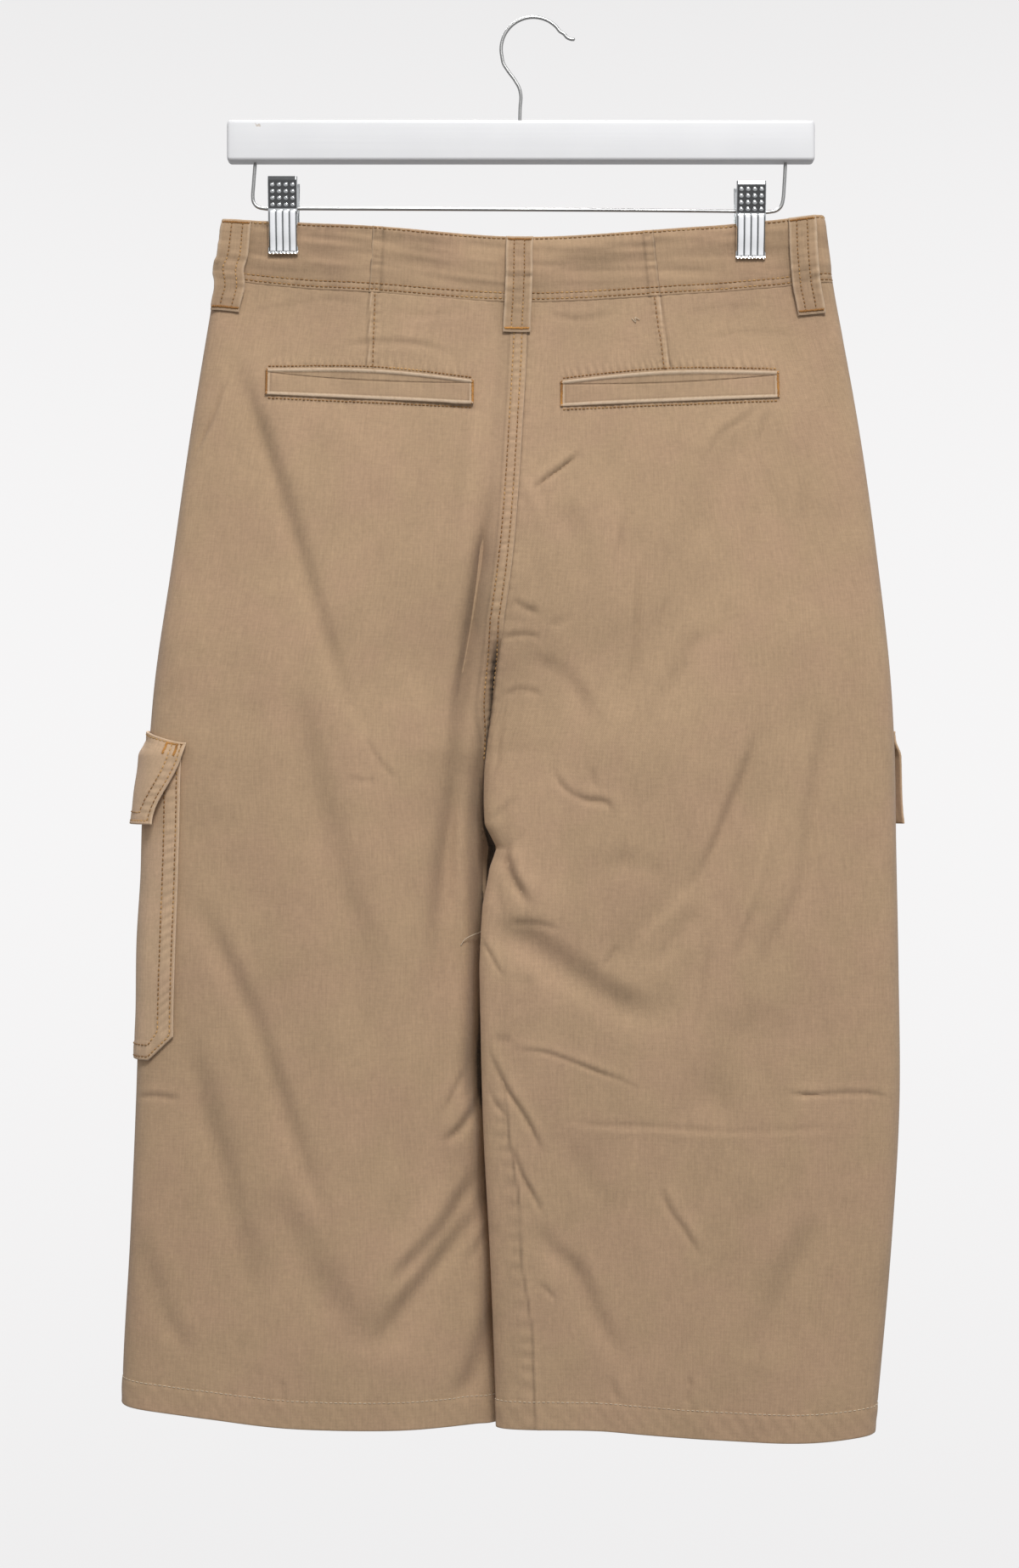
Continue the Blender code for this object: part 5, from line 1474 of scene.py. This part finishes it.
def cargo_bag(side):
    """Pocket bag round the outside of the leg, its lower corners cut off, edges turned in."""
    start, end = CARGO[side]
    width, deep = end - start, CARGO_TOP - CARGO_BOTTOM
    across, down = spread(width, 1.5, NEAR_BAG_SIDE), spread(deep, 1.6, NEAR_MOUTH, NEAR_BAG_END)
    s, t = across / width, (down / deep)[:, None]
    cut = np.clip(1 - np.minimum(across, width - across) / CARGO_CHAMFER, 0, 1)
    w = leg_patch(side, CARGO_TOP - down, np.full(len(down), start), end, s)
    z = (CARGO_TOP - down)[:, None] + CARGO_CHAMFER * cut * t
    puff = CARGO_PUFF * np.sin(pi * s) ** 2 * np.sin(pi * t) ** 2
    a, d = np.meshgrid(across, down)
    sides = np.minimum(a, width - a)
    under = (deep - d) * np.where(cut > 0, CHAMFER_SLOPE, 1.0)
    edge = np.minimum(sides, under)
    round_way = np.where(under < sides, a, d)
    turned = 0.45 * (1 - ease((edge - BAG_ROWS[1] - 0.6) / 1.2))
    grooves = -0.3 * (bell(edge - BAG_ROWS[0], 0.7) + bell(edge - BAG_ROWS[1], 0.7))
    puckers = 0.36 * ladder(round_way, 7.2, 51 + side) * bell(edge - 6, 4.2)
    soft = 0.8 * soft_noise(a / 34, d / 40, 55 + side) * ease((edge - 9) / 14)
    # shade: painted shade on the stitch rows, painted shade and light on the puckers and waves
    piece = Piece(skin(side, w, z), side, across, down, POCKET,
                  over_cloth(POCKET) + puff, turned + grooves + puckers + soft, edge + 0.3,
                  shade=0.9 * (bell(edge - BAG_ROWS[0], 0.8) + bell(edge - BAG_ROWS[1], 0.8))
                  - 2.4 * puckers - 0.3 * soft)
    word = WORD[side]
    made = piece.build(f"leg_pocket_{word}", TWILL_BAG_LIT, [f"cargo_pocket_{word}"])
    for gap in BAG_ROWS:
        corner = deep - gap / CHAMFER_SLOPE
        BAG_THREAD.row(piece, [(gap, 1), (gap, corner), (CARGO_CHAMFER, deep - gap),
                               (width - CARGO_CHAMFER, deep - gap), (width - gap, corner),
                               (width - gap, 1)])


def cargo_flap(side):
    """Flap sewn above the bag; its free edges are turned, faded, and kick out."""
    start, end = CARGO[side][0] - FLAP_SIDE, CARGO[side][1] + FLAP_SIDE
    width, deep = end - start, FLAP_TOP - FLAP_BOTTOM
    across, down = spread(width, 1.5, NEAR_FLAP_SIDE), spread(deep, 1.0, NEAR_FLAP_SIDE[:6])
    s, t = across / width, (down / deep)[:, None]
    slant = FLAP_SLANT * ease((t[:, 0] - 0.05) / 0.9) * (1 if side == LEFT else 0.2)
    w = leg_patch(side, FLAP_TOP - down, start + slant, end, s)
    way = np.interp(w[0], *measured(side, FLAP_TOP))
    sag = FLAP_SAG * ease(way / start) if side == LEFT else 0  # only where it passes the fold
    z = (FLAP_TOP - down)[:, None] - sag * (1 - t)
    lean = ease((CARGO_TOP + 14 - z) / 12)
    over_bag = lean * (LIE_GAP + POCKET + 1.0 + CARGO_PUFF * np.sin(pi * s) ** 2)
    a, d = np.meshgrid(across, down)
    sides = np.minimum(a, width - a)
    free = np.minimum(sides, deep - d)
    edge = np.minimum(free, d)
    round_way = np.where(deep - d < sides, a, d)
    grooves = -0.3 * (bell(free - FLAP_ROWS[0], 0.7) + bell(free - FLAP_ROWS[1], 0.7)
                      + bell(d - FLAP_TOP_ROW, 0.8))
    turned = 0.3 * (1 - ease((edge - 8.6) / 1.2)) + 0.35 * bell(edge - 0.9, 0.9)
    puckers = 0.3 * ladder(round_way, 6.8, 81 + side) * bell(edge - 5.5, 4)
    soft = 0.8 * soft_noise(a / 26, d / 20, 85 + side) * ease((edge - 3) / 8)
    # shade: painted shade and light on the puckers, grooves and soft waves
    piece = Piece(skin(side, w, z + 0 * w), side, across, down, POCKET,
                  over_cloth(POCKET) + over_bag + FLAP_LIFT * t ** 2,
                  grooves + turned + puckers + soft, edge + 0.3,
                  shade=-2.4 * puckers - 3 * grooves - 0.4 * soft)
    word = WORD[side]
    made = piece.build(f"leg_flap_{word}", TWILL_BAG_LIT, [f"cargo_flap_{word}"])
    for gap in FLAP_ROWS:
        BAG_THREAD.row(piece, [(gap, FLAP_TOP_ROW), (gap, deep - gap),
                               (width - gap, deep - gap), (width - gap, FLAP_TOP_ROW)])
    BAG_THREAD.row(piece, [(1, FLAP_TOP_ROW), (width - 1, FLAP_TOP_ROW)])
    for at in (TACK_IN, width - TACK_IN):
        for off in (-TACK_HALF, TACK_HALF):
            BAG_TACK.tack(piece, [(at + off, 2.2), (at + off, 10.5)], 1.6)
        BAG_TACK.tack(piece, [(at - TACK_HALF, 2.6), (at + TACK_HALF, 2.6)], 1.4)


# ============================================================ front: pockets, fly, button
FLY_WIDTH, FLY_BOTTOM = 38, -325
ZIP_WIDTH, ZIP_THICK = 24, 1.2
FLY_ROWS = (2, 7)  # its stitch rows, in from its edge
BUTTON_RADIUS, BUTTON_THICK = 8.5, 3
BUTTON_IN = 12  # from the front seam to its middle
FACING_UNDER = 9  # how far a facing reaches under the front panel
FACING_BELOW = 12  # and below the opening's lower end


def hand_pocket_facing(side):
    """Cloth seen in the slanted opening, and a little of it under the front panel."""
    down = spread(SEAM_LEVEL - SLASH_END + FACING_BELOW, 2.0, (0.2, 0.8, 1.6))
    w = []
    for level in SEAM_LEVEL - down:
        reach = np.array([side_seam(side, level), slash(side, level) + FACING_UNDER])
        first, last = w_at(side, reach, level)
        w.append(np.linspace(first, last, 46))
    w = np.array(w)
    z = height(side, w, np.broadcast_to((SEAM_LEVEL - down)[:, None], w.shape))
    base = skin(side, w, z)
    sink = CLOTH / 2 + 0.8 + STRIP / 2 + 1.2 * ease((-250 - z) / 60)
    piece = Piece(base, side, run(base[len(base) // 2]), down, STRIP, -sink)
    word = WORD[side]
    made = piece.build(f"pocket_facing_{word}", TWILL_POCKET, [f"front_pocket_facing_{word}"])
    wide = slash(side, SEAM_LEVEL) + FACING_UNDER - side_seam(side, SEAM_LEVEL)
    span = (wide + FACING_UNDER) / 2 * down[-1]
    wide * MM
    span * MM * MM


def front_strip(reach, top_up, bottom, round_end, rows, columns):
    """Grid of a strip beside the front seam between two distances from it."""
    down = np.linspace(0, 1, rows)
    level = SEAM_LEVEL - top_up + (bottom - SEAM_LEVEL + top_up) * down
    w, z = [], []
    for one, u in zip(level, down):
        narrow = round_end * (1 - np.sqrt(1 - np.clip((u - 0.72) / 0.29, 0, 1) ** 2))
        far = reach[0] + (reach[1] - reach[0]) * narrow
        row = w_at(LEFT, -np.linspace(far, reach[1], columns), one, 1)
        w.append(row)
        z.append(height(LEFT, row, np.full_like(row, one)))
    return skin(LEFT, np.array(w), np.array(z)), down * (SEAM_LEVEL - top_up - bottom)


def fly():
    """Placket over the zip with its curved double row, and the tape inside it."""
    base, down = front_strip((FLY_WIDTH, 0.5), 1.5, FLY_BOTTOM, 0.8, 80, 36)
    across = run(base[len(base) // 2])
    a, d = np.meshgrid(across, down)
    gap = np.minimum(a, down[-1] - d)
    free = across[-1] - a
    relief = (-0.28 * (bell(gap - FLY_ROWS[0], 0.8) + bell(gap - FLY_ROWS[1], 0.8))
              + 0.2 * ladder(d, 8, 44) * bell(gap - 4, 4)
              + 0.3 * bell(free - 1, 1.2) + 0.25 * soft_noise(a / 20, d / 26, 47))
    piece = Piece(base, LEFT, across, down, STRIP, over_cloth(STRIP), relief,
                  np.minimum(free, gap + 0.2))
    made = piece.build("fly_front", TWILL, ["fly_placket"])
    for gap in FLY_ROWS:
        FRONT_THREAD.row(piece, [(gap, 1), (gap, down[-1] - gap),
                                 (across[-1] - 1, down[-1] - gap)])
    base, down = front_strip((ZIP_WIDTH / 2, -ZIP_WIDTH / 2), 4, FLY_BOTTOM + 22, 0, 60, 12)
    inside = -over_cloth(ZIP_THICK) - 0.4
    tape = Piece(base, LEFT, run(base[len(base) // 2]), down, ZIP_THICK, inside)
    made = tape.build("zip_band", TAPE, ["zip_tape"], "zip_tape")


def lathe(profile, steps=48):
    """Points and quads of a profile (radius, height) turned round the Z axis."""
    profile = np.asarray(profile, float)
    turn = np.arange(steps) * tau / steps
    points = np.stack([profile[:, :1] * np.cos(turn), profile[:, :1] * np.sin(turn),
                       np.broadcast_to(profile[:, 1:], (len(profile), steps))], -1)
    number = np.arange(len(profile) * steps).reshape(len(profile), steps)
    return points.reshape(-1, 3), hoops(number)


def waist_button():
    """Turned button with a raised rim, four holes' thread crossing its dished middle."""
    w = w_at(LEFT, -BUTTON_IN, SEAM_LEVEL, 1) + np.array([[-0.01, 0, 0.01]] * 3)
    z = band_height(LEFT, w, np.array([[0.52], [0.5], [0.48]]))
    patch = skin(LEFT, w, z)
    normal = grid_normals(patch, LEFT)[1, 1]
    at = patch[1, 1] + normal * (BAND / 2 + LAP_LIFT + LIE_GAP)
    r, h = BUTTON_RADIUS, BUTTON_THICK
    profile = [(0.01, h - 1.1), (3.6, h - 1.0), (r - 3, h - 0.9), (r - 2.4, h - 0.25), (r - 1.8, h),
               (r - 1.0, h), (r - 0.4, h - 0.3), (r, h - 1), (r, 0.8), (r - 0.4, 0.3), (r - 1, 0),
               (0.01, 0)]
    points, faces = lathe(profile)
    turn = np.array(Vector(normal).to_track_quat("Z", "Y").to_matrix())
    points = points @ turn.T + at
    made = make_mesh("button", points, faces[:, ::-1], BUTTON, sharp=40)
    place_piece(made, "button", "waist_button")
    stitches = Stitching("button_thread", GOLD, "thread_gold", 0.3)
    starts, ends = [], []
    for dx, dy in ((-1.7, -1.7), (1.7, -1.7)):
        for off in (-0.5, 0.0, 0.5):
            starts.append([dx + off, dy, h - 0.95])
            ends.append([-dx + off, -dy, h - 0.95])
    starts, ends = (np.array(rows) @ turn.T + at for rows in (starts, ends))
    stitches.ends.append((starts, ends, np.broadcast_to(normal, starts.shape)))
    stitches.build()


# ============================================================ hanger
CLIP_Z = (-106.0, -109.0)  # z of the clips' tops
CLIP_RAIL_Z = (-124.4, -126.0)  # z of the rail in each of them
CLIP_WIDTH, CLIP_HEIGHT, CLIP_SHEET, JAW_GAP = 19.3, 49.6, 1.1, 3.6
BAR = (-200.4, 184.1, -94.4, -67.7)  # left, right, bottom and top
BAR_DEPTH = 13
RIBBED, RIB_HIGH = 0.91, 0.95  # share of a jaw's width with ribs, and their height
RAIL_RADIUS, HOOK_RADIUS, HOOK_BEND = 1.15, 1.1, 21.1


def tube(path, radius, sides=20):
    """Round wire along a smooth line in the middle plane: circles square to its way."""
    path = trail(path, 12 * len(path))
    way = unit(np.gradient(path, axis=0))
    centre = np.stack([path[:, 0], 0 * path[:, 0], path[:, 1]], 1)
    side = np.stack([-way[:, 1], 0 * way[:, 0], way[:, 0]], 1)
    ends = np.concatenate([[0.15, 0.75], np.ones(len(path) - 4), [0.75, 0.15]]) * radius
    turn = np.arange(sides) * tau / sides
    spoke = side[:, None] * np.cos(turn)[:, None] + np.array([0, 1, 0]) * np.sin(turn)[:, None]
    points = centre[:, None] + spoke * ends[:, None, None]
    return points.reshape(-1, 3), closed_tube(len(path), sides)


def arc(centre_x, centre_z, radius, start, end, steps):
    """Points (x, z) along part of a circle, between two angles in degrees."""
    turns = np.radians(np.linspace(start, end, steps + 1))
    return [(centre_x + radius * cos(turn), centre_z + radius * sin(turn)) for turn in turns]


def wires():
    """The hook with its lean and flared tip, and the rail under the bar with its two bends."""
    middle = HOOK_RADIUS - HOOK_BEND
    stem = [(-8.9, BAR[3] - 1.5), (-8.6, -58), (-8.2, -50), (-9.2, -45.5), (-11.6, -41.0),
            (-17.0, -33.5), (-19.6, -29.2)]
    hook = stem + arc(0, middle, HOOK_BEND, 192, 34, 14) + [(20.2, -10.0), (22.2, -12.2),
                                                          (24.6, -13.3), (27.4, -13.4)]
    made = make_mesh("hook_wire", *tube(hook, HOOK_RADIUS), STEEL, sharp=60)
    place_piece(made, "steel_wire", "hanger_hook")
    low = BAR[2] + 1.5
    left_end, right_end = -124.2, -126.4
    rail = [(-182.2, low), (-183.4, -108), (-183.9, left_end + 6.5)]
    rail += arc(-183.9 + 6.5, left_end + 6.5, 6.5, 190, 268, 5)
    rail += [(-150, -124.4), (-100, -124.6), (-15, -125.0), (80, -125.6), (130, -126.1)]
    rail += arc(163.6 - 7.5, right_end + 7.5, 7.5, -88, -4, 5)
    rail += [(164.6, -108), (165.4, low)]
    made = make_mesh("rail_wire", *tube(rail, RAIL_RADIUS), STEEL, sharp=60)
    place_piece(made, "steel_wire", "clip_rail")


def bar():
    """Flat wooden bar: a rounded section carried along X, its ends rounded the same way."""
    left, right, bottom, top = BAR
    half_z, half_y, radius = (top - bottom) / 2, BAR_DEPTH / 2, 2.4
    turn = np.linspace(0, tau, 64, endpoint=False) + tau / 128
    corner = np.stack([np.sign(np.cos(turn)) * (half_y - radius) + radius * np.cos(turn),
                       np.sign(np.sin(turn)) * (half_z - radius) + radius * np.sin(turn)], 1)
    steps = np.array([0, 0.25, 0.6, 1.1, 1.7, 2.4])
    shrink = radius - np.sqrt(radius ** 2 - (radius - np.minimum(steps, radius)) ** 2)
    x = np.concatenate([left + steps, np.linspace(left, right, 60)[1:-1], right - steps[::-1]])
    inset = np.concatenate([shrink, np.zeros(58), shrink[::-1]])
    rings = []
    for place, less in zip(x, inset):
        scale = 1 - less / np.array([half_y, half_z])
        rings.append(np.column_stack([np.full(len(turn), place), corner * scale]))
    points = np.concatenate(rings)
    points[:, 2] += (top + bottom) / 2
    made = make_mesh("bar_wood", points, closed_tube(len(x), len(turn)), PAINT, sharp=40)
    place_piece(made, "painted_wood", "hanger_bar")


def jaw_profile(side):
    """(y, height above the tip) up one jaw: lip, grip, swell over the rail, handle."""
    out, high = np.array(((0.9, 0), (0, 1.6), (0.2, 5), (2.4, 14), (3.6, 24), (4.0, 31),
                          (4.4, 33), (6.8, 48), (5.8, CLIP_HEIGHT))).T
    up = np.concatenate([np.linspace(0, 3, 9), np.linspace(3, 29, 30)[1:],
                         np.linspace(29, 48, 60)[1:], [48.6, 49.2, CLIP_HEIGHT]])
    return np.stack([side * np.interp(up, high, JAW_GAP + out), up], 1)


def clip_jaw(word, face, x, top, side, ribs):
    """Pressed sheet jaw with bent-in flanges and a scalloped lip.

    Below the rail it has four upright half-round ribs and above it four rows of four small
    studs. With ribs 0 it has neither, as at the front.
    """
    profile = jaw_profile(side)
    soft = np.stack([np.convolve(np.pad(profile[:, 0], 3, "edge"), np.ones(7) / 7, "valid"),
                     profile[:, 1]], 1)
    ways = unit(np.gradient(soft, axis=0)) * side
    flange = np.array([0.47, 0.485, 0.495, 0.5])
    across = np.concatenate([-flange[::-1], np.linspace(-RIBBED / 2, RIBBED / 2, 73 if ribs else 15),
                             flange])
    up = soft[:, 1][:, None]
    inner = np.clip((0.5 - np.abs(across)) / 0.045, 0, 1)
    cell = (across / RIBBED + 0.5) * 4 % 1 - 0.5
    rib = np.sqrt(np.clip(1 - (2.1 * cell) ** 2, 0, 1)) * ease(inner * 1.2)
    ribbed = ease((up - 1.2) / 1.2) * (1 - ease((up - 27) / 2))
    studs = np.zeros((len(soft), len(across)))
    for height_up in (31.8, 36.0, 40.2, 44.4):
        reach = np.hypot(cell * RIBBED * CLIP_WIDTH / 4 / 1.55, (up - height_up) / 1.35)
        studs += 0.62 * np.sqrt(np.clip(1 - reach ** 2, 0, 1))
    relief = CLIP_SHEET + ribs * (ribbed * RIB_HIGH * rib + studs)
    bend = 0.9 * (1 - inner) ** 2
    base = np.stack([np.broadcast_to(x + across * CLIP_WIDTH, relief.shape),
                     np.broadcast_to(soft[:, :1], relief.shape),
                     np.broadcast_to(top - CLIP_HEIGHT + up, relief.shape)], -1)
    push = np.stack([0 * ways[:, 0], ways[:, 1], -ways[:, 0]], -1)[:, None, :]
    tucked = np.array([0, -side, 0]) * (bend * ease((up - 4) / 4))[..., None]
    scallop = 0.5 * np.abs(np.cos(pi * (across * 8))) * ease((2.2 - up) / 2.2)
    drop = np.stack([0 * scallop, 0 * scallop, scallop], -1)
    outer = (base + push * relief[..., None] + tucked + drop)[::-1]
    inside = (base + tucked + drop)[::-1]
    points, faces, few = closed_wall(outer, inside)
    # painted shade between the ribs and round the studs, painted glare on the ribs' crests
    hollow = ribs * (inner > 0.5) * (ribbed * (1 - 2 * rib)
                                     + (up > 29.5) * (1 - np.clip(studs / 0.5, 0, 1)))
    hollow = np.concatenate([hollow[::-1].ravel(), np.zeros(few.size)])
    made = make_mesh(f"clip_{word}_{face}", points, faces if side > 0 else faces[:, ::-1], CHROME,
                     fields={"hollow": hollow}, sharp=50)
    place_piece(made, "chrome_clip", f"clip_{word}_jaw_{face}")


def clip_spring(word, x, rail_z):
    """Bent strip that sits over the rail and pushes the jaws' lower ends together."""
    bend, sheet, width = 1.9, 0.7, 11
    path = np.array([(-5.4, -10), (-3.2, -3)] + arc(0, 0, bend, 180, 0, 16)
                    + [(3.2, -3), (5.4, -10)])
    ways = unit(np.gradient(path, axis=0))
    out = np.stack([-ways[:, 1], ways[:, 0]], 1)
    across = np.linspace(-0.5, 0.5, 5) * width
    grids = []
    for lift in (sheet, 0):
        line = path + out * lift
        grids.append(np.stack([np.broadcast_to(x + across, (len(line), 5)),
                               np.broadcast_to(line[:, :1], (len(line), 5)),
                               np.broadcast_to(rail_z + line[:, 1:], (len(line), 5))], -1))
    points, faces = closed_wall(*grids)[:2]
    made = make_mesh(f"spring_{word}", points, faces[:, ::-1], STEEL, sharp=50)
    place_piece(made, "steel_wire", f"clip_{word}_spring")


def clips():
    """Both clips: a ribbed jaw at the back, a plain one at the front and the spring."""
    for word, x, top, rail_z in zip(("left", "right"), CLIPS, CLIP_Z, CLIP_RAIL_Z):
        clip_jaw(word, "back", x, top, -1, 1)
        clip_jaw(word, "front", x, top, 1, 0)
        clip_spring(word, x, rail_z)


# ============================================================ all pieces
DART_ROW = 2.7  # a back seam's stitch row, beside its line
LOOSE_THREADS = {  # loose ends of thread on the back
    # side: points (x, z, height over the cloth)
    LEFT: ((-47.5, -607, 0.4), (-45.5, -603, 1.6), (-41, -600, 2.6), (-37, -599, 2.4),
           (-34.5, -596, 1.2)),
    RIGHT: ((64, -199, 0.4), (66.5, -201.5, 1.0), (66, -198.5, 1.3), (69, -200, 0.6)),
}

bands = waistband()
for loop in BELT_LOOPS:
    belt_loop(*loop)
for side in (LEFT, RIGHT):
    back_pocket_welt(side)
    cargo_bag(side)
    cargo_flap(side)
    hand_pocket_facing(side)
fly()
waist_button()
bar()
wires()
clips()

for band in bands:
    for down in (BAND_HIGH - BAND_ROWS[0], BAND_HIGH - BAND_ROWS[1], BAND_TOP_ROW):
        BAND_THREAD.row(band, [(0.5, down), (band.across[-1] - 0.5, down)])

for side in (LEFT, RIGHT):
    back, front = panels[side, BACK], panels[side, FRONT]
    down = np.linspace(1, 54, 30)
    x = x_on(DARTS[side], SEAM_LEVEL - down) - DART_ROW * side
    BODY_THREAD.row(back, np.stack([back.across_at(x, down), down], 1))
    for piece in (back, front):
        HEM_THREAD.row(piece, [(0.5, LEG - HEM_ROW), (piece.across[-1] - 0.5, LEG - HEM_ROW)])
    for gap in SLASH_ROWS:
        FRONT_THREAD.row(front, [(gap, 1), (gap, SEAM_LEVEL - SLASH_END)])
for gap in SEAT_ROWS:
    BODY_THREAD.row(panels[LEFT, BACK], [(gap + SEAT_OVER, 1),
                                         (gap + SEAT_OVER, SEAM_LEVEL - CROTCH + 6)])

for side, points in LOOSE_THREADS.items():
    line = trail(points, 16)
    spots, normals = panels[side, BACK].at(*on_back(side, line[:, 0], line[:, 1]).T)
    spots = spots + normals * line[:, 2:]
    HEM_THREAD.ends.append((spots[:-1], spots[1:], normals[1:]))

zip_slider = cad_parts["zip_slider"]  # stays as the solid, in its own finish
zip_slider.data.materials.clear()
zip_slider.data.materials.append(BRASS)

for stitching in (LOOP_THREAD, LOOP_TACK, POCKET_THREAD, POCKET_TACK, BAG_THREAD, BAG_TACK,
                  FRONT_THREAD, BAND_THREAD, BODY_THREAD, HEM_THREAD):
    stitching.build()


# ============================================================ room, light and camera
CAMERA = (-15.6, -1620.0, -501.6)
VIEW_HEIGHT, VIEW_WAY = 1015.3, 1600  # height seen at that distance
ROOM_RADIUS, ROOM_BEND, FLOOR_Z, ROOM_TOP = 3000, 700, -1800, 1900
# painted light: the paper glows, brightest at the height PAPER_BRIGHTEST and dimmer above and below
# it
PAPER_GLOW, PAPER_FADE, PAPER_BRIGHTEST = 0.905, 0.036, -0.45  # fade per square metre off it
SKY_LOW, SKY_HIGH = 0.25, 0.74  # light of the room from below and from above


def camera():
    """Level camera in front of the back of the shorts, as in the photograph."""
    data = bpy.data.cameras.new("camera")
    data.lens = data.sensor_width * VIEW_WAY / VIEW_HEIGHT
    made = bpy.data.objects.new("camera", data)
    made.location = Vector(CAMERA) * MM
    made.rotation_euler = (radians(90), 0, 0)
    bpy.context.scene.collection.objects.link(made)
    bpy.context.scene.camera = made


def soft_light(name, place, size, power):
    """Square soft box that points at the middle of the shorts."""
    data = bpy.data.lights.new(name, "AREA")
    data.size = size
    data.energy = power
    made = bpy.data.objects.new(name, data)
    made.location = Vector(place)
    aim = Vector((0, 0, -0.5)) - made.location
    made.rotation_euler = aim.to_track_quat("-Z", "Y").to_euler()
    made.visible_camera = False
    bpy.context.scene.collection.objects.link(made)


def room():
    """Round pale room, open at the top, glowing with painted light: floor, bend and wall as a
    profile turned round Z.
    """
    turn = np.linspace(-pi / 2, 0, 17)
    near = ROOM_RADIUS - ROOM_BEND
    profile = [(0.5, FLOOR_Z)] + [(near + ROOM_BEND * cos(a), FLOOR_Z + ROOM_BEND * (1 + sin(a)))
                                  for a in turn] + [(ROOM_RADIUS, ROOM_TOP)]
    points, faces = lathe(profile, 96)
    finish = Finish("glowing_paper", Roughness=0.9, Specular_IOR_Level=0.0, Emission_Strength=1.0)
    finish.shader.inputs["Base Color"].default_value = (0.02, 0.02, 0.02, 1)
    split = finish.node("ShaderNodeSeparateXYZ", None, {0: finish.place()}, out=2)
    off = split - PAPER_BRIGHTEST
    glow = PAPER_GLOW - PAPER_FADE * off * off
    # painted light: glow instead of lit paper, falling off with height
    finish.to("Emission Color", finish.tint((1.0, 0.992, 0.994), glow))
    made = make_mesh("paper_room", points, faces, finish.material)
    made.visible_diffuse = made.visible_glossy = made.visible_shadow = False


def light():
    """From above, a little stronger from one side and dim from below, so folds show."""
    world = bpy.data.worlds.new("pale_room")
    world.use_nodes = True
    tree = world.node_tree
    place = tree.nodes.new("ShaderNodeTexCoord")
    dot = tree.nodes.new("ShaderNodeVectorMath")
    dot.operation = "DOT_PRODUCT"
    dot.inputs[1].default_value = Vector((0.16, 0, 0.98))
    ramp = tree.nodes.new("ShaderNodeMapRange")
    ramp.inputs["From Min"].default_value, ramp.inputs["From Max"].default_value = -0.9, 0.9
    ramp.inputs["To Min"].default_value, ramp.inputs["To Max"].default_value = SKY_LOW, SKY_HIGH
    back = tree.nodes["Background"]
    back.inputs["Color"].default_value = (0.97, 0.97, 1.0, 1)
    tree.links.new(place.outputs["Generated"], dot.inputs[0])
    tree.links.new(dot.outputs["Value"], ramp.inputs["Value"])
    tree.links.new(ramp.outputs["Result"], back.inputs["Strength"])
    bpy.context.scene.world = world
    bpy.context.scene.view_settings.view_transform = "Standard"
    soft_light("key", (0.35, -2.0, 1.6), 0.8, 62)
    soft_light("front_key", (-0.35, 2.0, 1.6), 0.8, 62)


room()
light()
camera()
